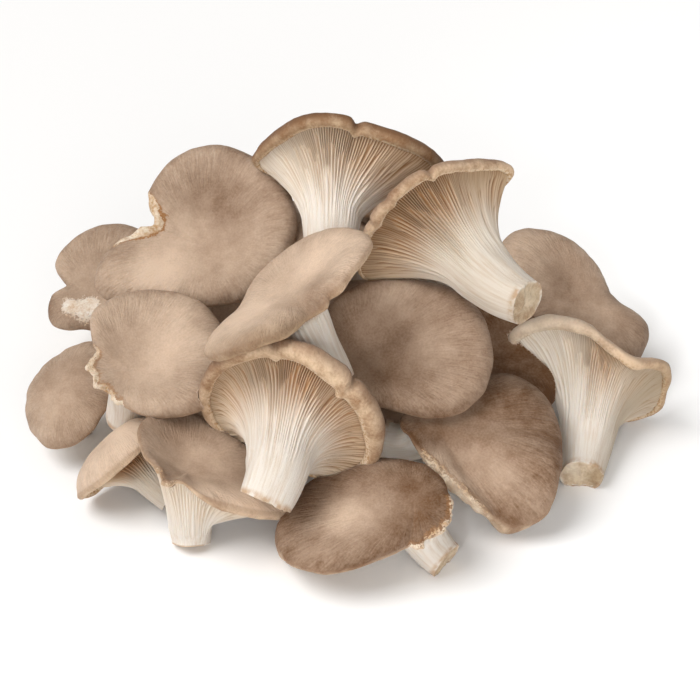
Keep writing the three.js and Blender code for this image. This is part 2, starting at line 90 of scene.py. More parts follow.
SPECS = {
    "front_gills": dict(
        at=(-23.5, -63.5, 38), up=(0.12, 0.98, 0.17), front=(0, -0.17, 0.98),
        rim=[(0, 33, 25), (45, 33, 20.5), (90, 32.5, 19.5), (113, 33.2, 17), (127, 30.5, 12.5),
             (142, 25.5, 12), (157, 20.5, 13.5), (190, 22, 18), (225, 26.5, 23), (250, 30, 25),
             (270, 31.3, 26), (315, 30.5, 26.5)],
        margin=[(0, 7.2, 70, 0), (45, 8, 70, -5), (90, 7.5, 70, -5), (115, 4.6, 66, 0),
                (150, 3, 60, 5), (225, 3, 60, 5), (270, 4, 80, -8), (315, 5.5, 80, -5)],
        neck=10.5, foot=8.7, stem=14, lean=42, lean_to=208, dip=19, shoulder=0.22, flare=0.55,
        splits=[(352, 1.5, 3), (46, 2, 3)], skin="gills",
    ),
    "top_gills": dict(
        at=(-6.5, 17, 81.5), up=(0.03, 0.9, 0.43), front=(0, -0.43, 0.9),
        rim=[(0, 32, 24), (20, 32, 22.5), (45, 36, 20), (80, 40, 19), (97, 34, 21), (112, 23, 20),
             (130, 15, 18), (180, 13.5, 17), (238, 13.5, 17), (258, 20, 22), (272, 28.5, 24.5),
             (290, 28.5, 24), (315, 27.5, 25)],
        margin=[(0, 5.6, 48, 26), (45, 5.6, 48, 24), (85, 4.5, 45, 22), (120, 2.4, 40, 30),
                (240, 2.2, 40, 32), (272, 3.2, 40, 30), (315, 5.4, 48, 26)],
        neck=10, foot=8, stem=20, lean=18, lean_to=180, dip=14, shoulder=0.2, flare=0.38,
        splits=[(16, 2.5, 3)], skin="gills",
    ),
    "upper_right_gills": dict(
        at=(44.5, -6, 77), up=(-0.53, 0.81, 0.24), front=(-0.33, -0.46, 0.82),
        rim=[(0, 31, 27.5), (22, 28, 27), (45, 26, 26.4), (70, 28, 26), (90, 31, 25),
             (105, 24, 25), (125, 14, 19), (180, 13, 17), (235, 18, 23), (270, 32, 27),
             (315, 30, 29)],
        margin=[(0, 5, 48, 22), (45, 4.8, 48, 24), (90, 4, 42, 28), (125, 2.2, 38, 32),
                (200, 2.2, 38, 32), (250, 3, 42, 25), (315, 5, 48, 20)],
        neck=11, foot=7.6, stem=23, lean=22, lean_to=70, dip=16, shoulder=0.2, flare=0.4,
        splits=[(13, 2.2, 3), (338, 1.3, 3), (318, 1.2, 3)], skin="gills",
    ),
    "right_side_gills": dict(
        at=(85.5, -10.5, 10.5), up=(0.2, 0.89, 0.4), front=(0.1, -0.42, 0.9),
        rim=[(0, 20, 27.3), (32, 20.6, 24.5), (60, 25.6, 28), (90, 27.2, 27), (108, 28, 23),
             (126, 24.5, 20.5), (148, 17, 18), (180, 13.4, 18), (235, 15, 24), (255, 26, 28.5),
             (275, 34, 30.5), (300, 30, 33.5), (330, 23, 33.5)],
        margin=[(0, 4.8, 45, 20), (45, 4.2, 42, 20), (90, 2.8, 40, 25), (130, 2.2, 35, 20),
                (180, 2, 35, 24), (250, 2.4, 36, 22), (290, 4.8, 48, 18), (330, 5, 48, 16)],
        neck=10, foot=7.3, stem=20, lean=18, lean_to=0, dip=18.5, shoulder=0.27, flare=0.38,
        skin="gills",
    ),
    "pale_folded_cap": dict(
        at=(-15.5, -28, 71.5), up=(-0.4, 0.09, 0.91), front=(-0.86, -0.37, -0.35),
        rim=[(0, 33.7, 7.5), (45, 25.8, 9.9), (75, 15.9, 7.4), (100, 13.9, 6.9),
             (135, 22.8, 12.9), (180, 31.7, 13.9), (225, 30.7, 14.9), (270, 26.8, 10.9),
             (315, 24.8, 6.9)],
        margin=[(0, 4.6, 55, 0), (45, 5, 50, 5), (80, 4.6, 45, 8), (120, 4, 45, 8),
                (180, 3.2, 45, 5), (270, 3, 45, 0)],
        neck=8.5, foot=6.1, stem=25.8, lean=15, lean_to=90, dip=9.9, shoulder=0.25,
        splits=[(122, 2.5, 5)],
    ),
    "dark_middle_cap": dict(
        at=(3.5, -14, 44.5), up=(0.15, -0.56, 0.82), front=(0.99, -0.09, -0.12),
        rim=[(0, 44.4, 10.1), (35, 43.4, 10.1), (70, 31.3, 10.1), (115, 22.2, 10.1),
             (180, 16.2, 8.1), (225, 16.7, 8.1), (270, 18.2, 8.1), (305, 23.7, 9.1),
             (335, 37.9, 10.1)],
        neck=7.1, foot=7.1, stem=24.2, lean=20, lean_to=180, dip=6.1, curl=60, shoulder=0.3,
        lip=3.4,
    ),
    "upper_left_cap": dict(
        at=(-52.5, 29.5, 62.5), up=(-0.1, -0.56, 0.82), front=(1, -0.08, 0.06),
        rim=[(0, 32.2, 10.1), (45, 35.8, 12.1), (85, 35.8, 12.1), (112, 32.2, 12.1),
             (135, 27.2, 11.1), (147, 23.7, 10.6), (156, 18.1, 10.1), (166, 19.1, 10.1),
             (182, 31.2, 9.1), (205, 40.3, 8.1), (235, 30.2, 7.1), (270, 24.2, 7.1),
             (315, 29.2, 8.1)],
        neck=8.1, foot=7.1, stem=24.2, lean=20, lean_to=180, dip=5, curl=60, shoulder=0.3,
        lip=3.6, torn=[(160, 22)],
    ),
    "far_left_lobed_cap": dict(
        at=(-96.5, 56.5, 23), up=(-0.2, -0.51, 0.84), front=(0.98, -0.16, 0.11),
        rim=[(0, 22.5, 6.1), (45, 29.7, 6.1), (90, 29.7, 6.1), (120, 26.6, 6.1), (145, 22.5, 6.1),
             (163, 13.3, 5.1), (185, 17.4, 6.1), (220, 19.4, 6.1), (260, 15.4, 6.1),
             (315, 18.4, 6.1)],
        neck=6.1, foot=6.1, stem=20.5, lean=10, lean_to=180, dip=6.1, curl=60, shoulder=0.3,
        lip=3.1,
    ),
    "left_torn_cap": dict(
        at=(-76, -20.5, 41.5), up=(0.05, -0.42, 0.91), front=(1, 0.04, -0.03),
        rim=[(0, 33.5, 8), (40, 36, 8), (75, 32, 8), (105, 28, 8), (122, 25.5, 9), (150, 13.5, 8),
             (180, 12.5, 7), (210, 12, 6.5), (235, 11.6, 6), (270, 14, 6), (300, 21, 7),
             (325, 29.5, 8)],
        neck=8.2, foot=7.6, stem=24, lean=24, lean_to=240, dip=6, curl=60, shoulder=0.3, lip=3.4,
        torn=[(205, 60)],
    ),
    "low_left_cap": dict(
        at=(-99, -1.5, 15), up=(-0.3, -0.38, 0.88), front=(0.95, -0.18, 0.24),
        rim=[(0, 17.1, 6), (45, 21.2, 6), (75, 24.2, 6), (110, 21.2, 6), (150, 18.1, 6),
             (190, 17.1, 6), (230, 18.1, 6), (255, 20.2, 6), (300, 17.1, 6)],
        neck=6.6, foot=6, stem=13.1, lean=40, lean_to=170, dip=14.1, curl=68, shoulder=0.35,
        lip=3.2,
    ),
    "small_tilted_cap": dict(
        at=(-68, -39, 12), up=(-0.62, 0.43, 0.65), front=(0, -0.82, 0.57),
        rim=[(0, 16.1, 12.1), (45, 15.6, 12.6), (90, 15.6, 13.1), (135, 15.6, 13.1),
             (180, 16.1, 12.1), (225, 20.1, 11.6), (270, 24.1, 11.6), (315, 20.1, 11.6)],
        neck=6.8, foot=6, stem=9, lean=14, lean_to=90, dip=21.6, curl=66, shoulder=0.42, lip=3.6,
        flare=0.35, open=-8,
    ),
    "small_funnel_cap": dict(
        at=(-54, -58.5, 8), up=(0, 0.08, 1), front=(1, 0, 0),
        rim=[(0, 35, 8), (22, 31, 13), (45, 27, 18), (90, 26, 28), (135, 21, 32.5),
             (180, 14.5, 30), (215, 11.5, 28), (240, 11.5, 26), (270, 11.5, 24.5), (315, 20, 19)],
        margin=[(0, 5, 55, 10), (45, 3.4, 45, 15), (180, 2.8, 25, 22), (240, 2.8, 20, 22),
                (290, 4.2, 35, 15), (330, 5.4, 55, 10)],
        neck=7.2, foot=6.2, stem=7, lean=24, lean_to=268, dip=21.5, shoulder=0.2, flare=0.25,
        torn=[(236, 22)],
    ),
    "front_low_cap": dict(
        at=(22, -70, 19.5), up=(-0.1, -0.3, 0.95), front=(-0.97, 0.22, -0.03),
        rim=[(0, 48, -4), (25, 46, 0), (45, 37, 5), (65, 22, 6), (90, 13, 6), (135, 12, 7),
             (180, 12, 8), (225, 12.5, 8), (270, 18.5, 4.5), (315, 31, 0)],
        neck=9, foot=6.6, stem=20, lean=78, lean_to=150, dip=10, curl=50, shoulder=0.25, lip=3.2,
        torn=[(150, 60)],
    ),
    "right_low_cap": dict(
        at=(27, -29.5, 25.5), up=(0.1, -0.42, 0.9), front=(0.9, -0.32, -0.28),
        rim=[(0, 48, 9), (20, 45.5, 6), (45, 44, 2), (65, 38, 0), (85, 22, 1), (110, 12, 4),
             (135, 10, 6), (180, 9.6, 6), (225, 10, 7), (250, 10.5, 9), (280, 14, 11),
             (300, 20, 11.5), (318, 30, 9.5), (333, 44, 1.5), (345, 50, 4)],
        margin=[(0, 3.2, 50, -10), (60, 3.2, 50, -10), (120, 3, 50, -10), (240, 3.2, 30, 0),
                (285, 5.6, -12, 8), (315, 6, -12, 8), (335, 4, 35, -5)],
        neck=6.5, foot=6.6, stem=23, lean=88, lean_to=190, dip=8, shoulder=0.25, torn=[(300, 24)],
    ),
    "far_right_cap": dict(
        at=(86, 45, 22.5), up=(0.25, -0.39, 0.89), front=(0.96, -0.02, -0.28),
        rim=[(0, 27.4, 4.1), (25, 18.3, 5.1), (50, 16.3, 6.1), (80, 22.4, 6.1), (105, 31.5, 6.1),
             (135, 40.7, 6.1), (160, 36.6, 5.1), (180, 30.5, 4.1), (225, 22.4, 4.1),
             (270, 20.3, 4.1), (315, 26.4, 4.1)],
        neck=7.1, foot=7.1, stem=20.3, lean=10, lean_to=180, dip=10.2, curl=65, shoulder=0.35,
        lip=3.5,
    ),
    "shaded_cap": dict(
        at=(60, 17, 20), up=(0.05, -0.42, 0.91), front=(1, 0, 0),
        rim=[(0, 19.5, 6.2), (45, 17.4, 6.2), (90, 21.6, 6.2), (135, 23.6, 6.2), (180, 25.7, 6.2),
             (225, 25.7, 6.2), (270, 23.6, 6.2), (315, 21.6, 6.2)],
        neck=7.2, foot=7.2, stem=18.5, lean=10, lean_to=180, dip=9.2, curl=65, shoulder=0.3,
        lip=3.5,
    ),
    "back_left_cap": dict(
        at=(-52, 57.5, 23), up=(-0.25, 0.5, 0.83), front=(-1, 0, -0.2),
        rim=[(0, 27, 4), (60, 30, 6), (120, 26, 8), (180, 28, 8), (240, 30, 4), (300, 30, 2)],
        neck=7, foot=7, stem=24, lean=20, lean_to=90, dip=9, curl=60, shoulder=0.3, lip=3.4,
    ),
    "back_middle_cap": dict(
        at=(0, 63.5, 46), up=(0.05, 0.62, 0.78), front=(0, 0.78, -0.62),
        rim=[(0, 31, 4), (60, 33, 6), (120, 28, 8), (180, 26, 9), (240, 28, 8), (300, 33, 6)],
        neck=7.5, foot=7, stem=30, lean=20, lean_to=0, dip=10, curl=55, shoulder=0.3, lip=3.6,
    ),
    "back_right_cap": dict(
        at=(40, 65.5, 20), up=(0.15, 0.6, 0.78), front=(0, 0.78, -0.6),
        rim=[(0, 24, 2), (60, 27, 4), (120, 28, 5), (180, 24, 8), (240, 26, 6), (300, 26, 3)],
        neck=7, foot=6.5, stem=22, lean=20, lean_to=180, dip=9, curl=65, shoulder=0.35, lip=3.2,
    ),
    "inner_left_cap": dict(
        at=(-42, -0.5, 31), up=(-0.15, -0.1, 0.98), front=(-1, 0, -0.15),
        rim=[(0, 27, 5), (60, 30, 5), (120, 26, 6), (180, 24, 7), (240, 28, 7), (300, 28, 6)],
        neck=8, foot=8, stem=31, lean=10, lean_to=0, dip=10, curl=60, shoulder=0.3, lip=3.4,
    ),
    "inner_right_cap": dict(
        at=(14, 21.5, 28), up=(0.1, 0.05, 1), front=(1, 0, 0),
        rim=[(0, 25, 6), (60, 27, 8), (120, 30, 8), (180, 34, 7), (240, 32, 6), (300, 30, 6)],
        neck=9, foot=9, stem=28, lean=10, lean_to=180, dip=13, curl=60, shoulder=0.3, lip=3.6,
    ),
    "inner_top_cap": dict(
        at=(-12, 45.5, 58), up=(0.2, 0.35, 0.91), front=(1, 0, -0.2),
        rim=[(0, 22, 4), (60, 22, 5), (120, 22, 6), (180, 25, 5), (240, 29, 1), (300, 27, 1)],
        neck=7, foot=7, stem=16, lean=30, lean_to=180, dip=9, curl=60, shoulder=0.35, lip=3.2,
    ),
    "inner_front_cap": dict(
        at=(14, -2.5, 13), up=(0.05, -0.25, 0.97), front=(1, 0, 0),
        rim=[(0, 26, 3), (60, 26, 4), (120, 26, 5), (180, 28, 4), (240, 22, 3), (300, 22, 3)],
        neck=7, foot=7, stem=13, lean=10, lean_to=90, dip=9, curl=60, shoulder=0.35, lip=3.2,
    ),
}

# How finely each skin is drawn: gills round the margin, columns to each gill, and the
# rows on the top, lip, tuck, underside, stem and cut end.
GILL_SIDE = dict(ridges=188, per_ridge=4, rows=(12, 12, 4, 32, 11, 5))
SMALL_SIDE = dict(ridges=112, per_ridge=4, rows=(19, 9, 3, 19, 10, 4))
CAP_SIDE = dict(ridges=64, per_ridge=4, rows=(24, 9, 2, 8, 7, 4))
HIDDEN = dict(ridges=40, per_ridge=3, rows=(16, 6, 2, 9, 6, 3))
FINENESS = {
    "front_gills": GILL_SIDE, "top_gills": GILL_SIDE, "upper_right_gills": GILL_SIDE,
    "right_side_gills": GILL_SIDE, "pale_folded_cap": SMALL_SIDE,
    "small_tilted_cap": SMALL_SIDE, "small_funnel_cap": SMALL_SIDE,
    "back_left_cap": HIDDEN, "back_middle_cap": HIDDEN, "back_right_cap": HIDDEN,
    "inner_left_cap": HIDDEN, "inner_right_cap": HIDDEN, "inner_top_cap": HIDDEN,
    "inner_front_cap": HIDDEN,
}

# How dark each cap is: 0 is the palest and 1 the darkest. More than 1 darkens the lip only.
PLAIN_TONE = 0.55
TONE = {
    "front_gills": 0.58, "top_gills": 1.6, "upper_right_gills": 0.5, "right_side_gills": 0.0,
    "pale_folded_cap": 0.22, "dark_middle_cap": 0.6, "upper_left_cap": 0.47,
    "far_left_lobed_cap": 0.4, "left_torn_cap": 0.36, "low_left_cap": 0.44,
    "small_tilted_cap": 0.1, "small_funnel_cap": 0.44, "front_low_cap": 0.8,
    "right_low_cap": 0.76, "far_right_cap": 0.56, "shaded_cap": 0.95,
}

# Soft spots on the caps, in millimetres from the stem's line along angle 0 and angle 90:
# where, how wide, and how much darker or lighter. Most are the caps' own tone; a few are
# painted light and shade: a painted highlight along the right low cap's raised lip, painted
# light on the small funnel cap's tongue and on the dark middle cap's top, painted shade on
# the upper left cap's curled-down lobe, and on the pale folded cap's lower edge, which is
# partly its own brown.
TONE_SPOTS_AND_PAINTED_LIGHT = {
    "upper_left_cap": [(8, 15, 15, 0.16), (-27, -3, 8, 0.4), (-14, -10, 16, -0.55)],
    "pale_folded_cap": [(14, 0, 9, -0.2), (-6, 12, 8, 0.3)],
    "dark_middle_cap": [(12, 4, 14, 0.04), (36, -4, 10, 0.08), (10, -16, 10, 0.15),
                        (8, 26, 9, -0.4)],
    "left_torn_cap": [(18, 18, 10, -0.15), (26, -4, 8, 0.25)],
    "front_low_cap": [(20, -6, 11, 0.12), (22, 6, 11, -0.5), (44, 4, 9, 0.15)],
    "right_low_cap": [(14, 14, 11, 0.1), (30, -8, 9, -0.1), (8, -14, 5, -0.45),
                      (16, -19, 5, -0.45), (27, -23, 4, -0.35)],
    "small_funnel_cap": [(-4, 14, 8, 0.15), (14, 10, 8, -0.1), (6, -12, 6, -0.5),
                         (20, -13, 8, -0.8), (31, -7, 8, -0.8)],
    "far_left_lobed_cap": [(-20, -6, 6, 0.4)],
    "far_right_cap": [(10, 14, 10, -0.1), (-25, 15, 12, -0.25)],
}
# Bare patches where the skin has come away, given the same way.
BARE = {"far_left_lobed_cap": [(-2, -6.5, 5.6), (-9, -6, 3.4)]}
ALL_ROUND = 400  # degrees to each side that take in the whole margin
# Where the gills are browner between, or lighter where it is less than nothing: the angle,
# how far to each side and how much. The front gills' browning is their own colour; that on
# the small tilted cap, the top gills, the upper right gills and the right side gills is partly
# painted shade, and every lighter stretch is painted light.
BROWNER_AND_PAINTED_LIGHT = {
    "front_gills": [(16, 30, 0.9), (80, 35, 0.7), (285, 30, 0.5)],
    "top_gills": [(65, 35, 1.0), (305, 45, -1.0)],
    "upper_right_gills": [(5, 30, 0.9), (310, 45, 1.1), (75, 40, 0.5)],
    "right_side_gills": [(357, 22, 1.35), (0, ALL_ROUND, -0.85)],
    "small_tilted_cap": [(350, 60, 2.2), (200, 40, 1.5)],
    "small_funnel_cap": [(275, 60, -0.9)],
    "pale_folded_cap": [(90, 60, 1.0)],
}
# Painted shade on a mushroom, or painted light where it is less than nothing: the stretch of
# the skin from its beginning to its end, the angle, how far to each side and how much. The
# darker margin of the pale folded cap is partly its own brown edge and partly painted shade.
PAINTED_LIGHT_AND_SHADE = {
    "top_gills": [(0.0, 2.3, 0, ALL_ROUND, 0.28), (2.4, 6, 305, 60, -0.3)],
    "upper_right_gills": [(2.4, 6, 0, ALL_ROUND, 0.32), (2.4, 6, 315, 70, 0.2)],
    "right_side_gills": [(0.0, 6, 80, 48, 0.9), (0.0, 6, 290, 60, -0.9)],
    "pale_folded_cap": [(0.6, 2.5, 50, 60, 0.8)],
    "small_tilted_cap": [(2.4, 6, 350, 60, 0.7)],
    "small_funnel_cap": [(2.4, 6, 275, 60, -0.3)],
    "right_low_cap": [(3.2, 6, 0, ALL_ROUND, -1.0), (0.9, 2.6, 300, 32, -0.6)],
}
# Lips drawn a little thinner or thicker than the rest.
FINE_LIP = {"upper_right_gills": 0.84, "top_gills": 0.92, "right_side_gills": 1.15}
# Where a lip thins away: the angle, the share that goes and the half width.
THINS = {"upper_right_gills": (268, 0.7, 22)}
# Margins let out a little further under their neighbours, or drawn in where it is less
# than nothing: the angle, how far, half width.
LET_OUT = {"inner_left_cap": (250, 5, 40), "shaded_cap": (115, 3.5, 35),
           "upper_left_cap": (14, 2, 26), "dark_middle_cap": (268, -2.2, 24)}
# How plainly the torn flesh of a margin shows.
FLESH_SHOWS = {"upper_left_cap": 1.9, "right_low_cap": 0.65, "small_funnel_cap": 0.35,
               "front_low_cap": 0.75}


# ---- The form of one mushroom ---------------------------------------------------------
def around(rim, column, degrees):
    """A smooth closed curve through one column of the rim rows, column 0 being the angle."""
    knots = np.array([row[0] for row in rim], float)
    values = np.array([row[column] for row in rim], float)
    count = len(rim)
    a = np.mod(degrees, 360.0)
    here = np.searchsorted(knots, a, side="right") - 1

    def knot(j):
        turn = np.floor_divide(j, count)
        return knots[j - turn * count] + 360.0 * turn, values[j - turn * count]

    (a0, v0), (a1, v1), (a2, v2), (a3, v3) = (knot(here + step) for step in (-1, 0, 1, 2))
    span = a2 - a1
    t = (a - a1) / span
    slope1 = (v2 - v0) / (a2 - a0) * span
    slope2 = (v3 - v1) / (a3 - a1) * span
    t2, t3 = t * t, t * t * t
    return ((2 * t3 - 3 * t2 + 1) * v1 + (t3 - 2 * t2 + t) * slope1
            + (3 * t2 - 2 * t3) * v2 + (t3 - t2) * slope2)


def apart(angle, degrees):
    """How far an angle is from another, in degrees, the short way round."""
    away = np.abs(np.degrees(angle) - degrees) % 360.0
    return np.minimum(away, 360.0 - away)


def ease(x):
    """Runs smoothly from 0 to 1 as x does."""
    x = np.clip(x, 0.0, 1.0)
    return x * x * (3 - 2 * x)


def bezier(points, t):
    """Radius and height at t on the curve that four points give."""
    s = 1 - t
    weights = (s ** 3, 3 * s * s * t, 3 * s * t * t, t ** 3)
    return [sum(w * p[i] for w, p in zip(weights, points)) for i in (0, 1)]


def ripple(seed, angle, first, last, size):
    """A fixed irregular wave round the margin, made of harmonics from first to last."""
    total = 0
    for k in range(first, last + 1):
        total = total + np.sin(k * angle + seed * k * 2.4 + k * k) / math.sqrt(k - first + 1)
    return total * size


def lumps(points, seed, size, count=14):
    """A smooth irregular swelling over the skin, from -1 to 1 or so: size is its span in mm."""
    draw = np.random.default_rng(seed)
    ways = draw.normal(size=(count, 3))
    ways /= np.linalg.norm(ways, axis=1, keepdims=True)
    spans = size * draw.uniform(0.7, 1.5, count)
    starts = draw.uniform(0, 2 * math.pi, count)
    total = np.zeros(points.shape[:-1])
    for way, span, start in zip(ways, spans, starts):
        total += np.sin(points @ (way * (2 * math.pi / span)) + start)
    return total / math.sqrt(count)


def tearing(m, angle, fade=TEAR_FADE):
    """Where round the margin it is torn, from 0 to 1."""
    torn = np.zeros_like(angle)
    for where, half in m.get("torn", ()):
        torn = np.maximum(torn, ease((half - apart(angle, where)) / fade + 0.5))
    return torn


def margin(m, degrees):
    """The lip's thickness, its curl and the slope of the gills at an angle."""
    if "margin" not in m:
        return m["lip"], m["curl"], m["open"]
    return [around(m["margin"], column, degrees) for column in (1, 2, 3)]


def meridian(m, angle, fine):
    """The outline of a mushroom at each angle: its top and underside, and its rolled lip."""
    torn = tearing(m, angle)
    reach = around(m["rim"], 1, np.degrees(angle)) + ripple(m["seed"], angle, 3, 6, RIM_WAVE)
    reach = reach + torn * ripple(m["seed"], angle, 8, 12, TEAR_WAVE)
    if fine:
        reach = reach + torn * ripple(m["seed"] + 2, angle, 23, 41, FINE_TEAR)
    for where, depth, half in m.get("splits", ()):
        reach = reach - depth * np.exp(-((apart(angle, where) / half) ** 2))
    reach = np.maximum(reach, m["neck"] + LEAST_OVERHANG)
    overhang = reach - m["neck"]
    height = around(m["rim"], 2, np.degrees(angle))
    height = height + ripple(m["seed"] + 5, angle, 3, 6, RIM_WAVE)
    thick, droop, slope = margin(m, np.degrees(angle))
    thick = thick * m.get("fine_lip", 1.0)
    if "thins" in m:
        where, share, half = m["thins"]
        thick = thick * (1 - share * np.exp(-((apart(angle, where) / half) ** 2)))
    lip = np.minimum(thick, np.maximum(THINNEST_LIP, LIP_SHARE * overhang))
    curl = np.radians(-droop * (1 - TEAR_FLAT * tearing(m, angle, SOFT_FADE)))
    out = (np.cos(curl), np.sin(curl))
    over = (-out[1], out[0])
    edge = (reach, height)
    pull = m["shoulder"] * reach
    top = (
        (0, m["dip"]), (TOP_LEVEL * reach, m["dip"]),
        (edge[0] - out[0] * pull, edge[1] - out[1] * pull), edge,
    )
    # On a wide side the gills start inside the lip; on a short one they run on from it.
    wing = np.clip((overhang - SHORT_OVERHANG) / (WIDE_OVERHANG - SHORT_OVERHANG), 0, 1)
    inside = [edge[i] - (over[i] * 0.75 + out[i] * 0.25) * lip for i in (0, 1)]
    onward = [edge[0] - (over[0] + 0.25) * lip, edge[1] - (over[1] + 0.1) * lip]
    gill_end = [onward[i] + (inside[i] - onward[i]) * wing for i in (0, 1)]
    gill_end[0] = np.maximum(gill_end[0], m["neck"] + 0.6)
    slope = np.radians(slope)
    run = GILL_SLOPE_RUN * (gill_end[0] - m["neck"])
    under = (
        (m["neck"], 0), (m["neck"], m["flare"] * np.maximum(gill_end[1], 3)),
        (gill_end[0] - run * np.cos(slope), gill_end[1] - run * np.sin(slope)), gill_end,
    )
    return dict(top=top, under=under, edge=edge, out=out, over=over, lip=lip, wing=wing, torn=torn)


def gill_crest(m, angle, down):
    """How much of a gill stands at each angle, from 0 in a valley to 1 on an edge.
    down is 1 at the margin, 0 at the neck and -1 at the cut end; gills join on the way."""
    count = m["ridges"]
    draw = np.random.default_rng(100 + m["seed"])
    ends = draw.uniform(*GILL_FORK, count)
    far_ends = draw.uniform(-0.5, 0.3, count)
    heights = draw.uniform(0.72, 1.0, count)
    waves = draw.uniform(0, 2 * math.pi, count)
    x = angle / (2 * math.pi) * count
    every = 0.5 + 0.5 * np.cos(2 * math.pi * x)
    second = 0.5 + 0.5 * np.cos(math.pi * x)
    fourth = 0.5 + 0.5 * np.cos(math.pi * x / 2)

    def standing(step, ends, fade):
        low = (2 * np.floor((x / step + 1) / 2) - 1).astype(int)
        share = (x / step - low) / 2
        here = ease((down - ends[(low * step) % count]) / fade)
        there = ease((down - ends[((low + 2) * step) % count]) / fade)
        return here * (1 - share) + there * share

    short = standing(1, ends, 0.16)
    middling = standing(2, far_ends, 0.3)
    crest = (1 - middling) * fourth + middling * second
    crest = (1 - short) * crest + short * every
    near = np.rint(x).astype(int) % count
    uneven = heights[near] * (1 + 0.1 * np.sin(9 * down + waves[near]))
    broad = 1 + ease(1.1 - down) * ripple(m["seed"] + 3, angle, 5, 19, 0.2)
    return crest * uneven * np.clip(broad, 0.15, 1.4)


# Where each stretch begins in the run of the skin, in which each takes up 1.
RUN_OF = {"top": 0, "lip": 1, "tuck": 2, "under": 3, "stem": 4, "cut": 5}
RUN_END = 6


def skin_rows(rows):
    """The rings of the skin from crown to cut end: the stretch each is on, and how far along."""
    top, lip, tuck, under, stem, cut = rows
    listed = [("top", (i + 1) / (top + 1)) for i in range(top)]
    listed += [("lip", i / (lip - 1)) for i in range(lip)]
    listed += [("tuck", (i + 1) / (tuck + 1)) for i in range(tuck)]
    listed += [("under", 1 - i / (under - 1)) for i in range(under)]
    listed += [("stem", (i + 1) / stem) for i in range(stem)]
    listed += [("cut", (i + 1) / (cut + 1)) for i in range(cut)]
    return listed


def lip_roll(c, turn):
    """Radius and height on the rounded lip, at a turn that is 90 degrees on its top."""
    half = c["lip"] / 2
    return [c["edge"][i] + half * (c["out"][i] * np.cos(turn) + c["over"][i] * (np.sin(turn) - 1))
            for i in (0, 1)]


def underside(m, c, angle, s, fine):
    """Radius, height, crest and place round the stem of the gills, s being 1 at the margin."""
    here, beyond, before = (
        bezier(c["under"], t) for t in (s, min(1.0, s + SLOPE_STEP), max(0.0, s - SLOPE_STEP)))
    along = (beyond[0] - before[0], beyond[1] - before[1])
    crest = gill_crest(m, angle, s) if fine else np.ones(len(angle))
    fade = np.minimum(1.0, 1.6 * s) * c["wing"]
    fade = fade * (1 - GILL_END_FALL * ease((s - 0.9) / 0.1))
    rise = (STEM_RIB + (GILL_DEPTH - STEM_RIB) * fade) * crest / np.hypot(*along)
    # The ends of the gills lie deeper, in the shade of the lip.
    deep = ease((s - 0.86) / 0.14) * c["wing"] * GILL_END_DEPTH * c["lip"]
    r = here[0] + along[1] * rise + c["over"][0] * deep
    z = here[1] - along[0] * rise + c["over"][1] * deep
    side = angle + GILL_SWAY * ease(s * 1.2) * (
        np.sin(5 * angle + 5 * s + m["seed"]) + 0.6 * np.sin(9 * angle - 7 * s + m["seed"]))
    return r, z, crest, side


def skin_points(m, columns, rows, fine):
    """Rings of points from the crown to the cut end, in the mushroom's own frame, with what
    each says about itself: its place in the run, the crest of its gill and how torn it is."""
    angle = 2 * math.pi * np.arange(columns) / columns
    c = meridian(m, angle, fine)
    rings, marks = [], []
    swell = (SWELL[0] * np.cos(2 * angle + m["seed"])
             + SWELL[1] * np.cos(3 * angle + 2 * m["seed"]))
    for stretch, t in skin_rows(rows):
        crest, side = np.ones(columns), angle
        if stretch == "top":
            r, z = bezier(c["top"], t)
        elif stretch == "lip":
            r, z = lip_roll(c, np.radians(90 - (180 + TUCK * c["wing"]) * t))
        elif stretch == "under":
            r, z, crest, side = underside(m, c, angle, t, fine)
        elif stretch == "tuck":
            r, z, crest, side = underside(m, c, angle, 1.0, fine)
            end = lip_roll(c, np.radians(-90 - TUCK * c["wing"]))
            hollow = 4 * t * (1 - t) * TUCK_HOLLOW * c["lip"] * c["wing"]
            r = end[0] + (r - end[0]) * t + c["over"][0] * hollow
            z = end[1] + (z - end[1]) * t + c["over"][1] * hollow
            crest = crest * t if fine else crest
        elif stretch == "stem":
            crest = gill_crest(m, angle, -t) if fine else crest
            r = m["neck"] + (m["foot"] - m["neck"]) * t + STEM_RIB * (1 - t) ** 4 * crest
            r = r * (1 + swell * t)
            z = -m["stem"] * t
        else:
            r = m["foot"] * (1 + swell) * (1 - t) ** 0.8
            z = -m["stem"] + CUT_DISH * ease(4 * t)
        rings.append(np.stack([r * np.cos(side), r * np.sin(side), z + 0 * angle], axis=1))
        run = RUN_OF[stretch] + (1 - t if stretch == "under" else t)
        marks.append(np.stack([np.full(columns, run), crest, c["torn"]], axis=1))
    return np.array(rings), np.array(marks), angle


def bent(m, points):
    """Bends what lies below the neck along an arc, towards the side the stem leans to."""
    total = math.radians(m["lean"])
    radius = m["stem"] / total
    side = np.array([math.cos(math.radians(m["lean_to"])), math.sin(math.radians(m["lean_to"])), 0])
    off = points @ side
    turn = -points[..., 2] / m["stem"] * total
    moved = radius - (radius - off) * np.cos(turn)
    bowed = points + (moved - off)[..., None] * side
    bowed[..., 2] = -(radius - off) * np.sin(turn)
    return np.where(points[..., 2:3] >= 0, points, bowed)


def placing(m):
    """The turn, as three rows, that lays an upright mushroom in the heap."""
    z = np.array(m["up"], float)
    z /= np.linalg.norm(z)
    x = np.array(m["front"], float)
    x -= z * (x @ z)
    x /= np.linalg.norm(x)
    return np.array([x, np.cross(z, x), z])


def outwards(rings, crown, sole):
    """The direction the skin faces at each point of the rings."""
    before = np.concatenate([np.broadcast_to(crown, rings[:1].shape), rings[:-1]])
    after = np.concatenate([rings[1:], np.broadcast_to(sole, rings[:1].shape)])
    down = after - before
    across = np.roll(rings, -1, axis=1) - np.roll(rings, 1, axis=1)
    facing = np.cross(down, across)
    return facing / np.maximum(np.linalg.norm(facing, axis=2, keepdims=True), 1e-9)


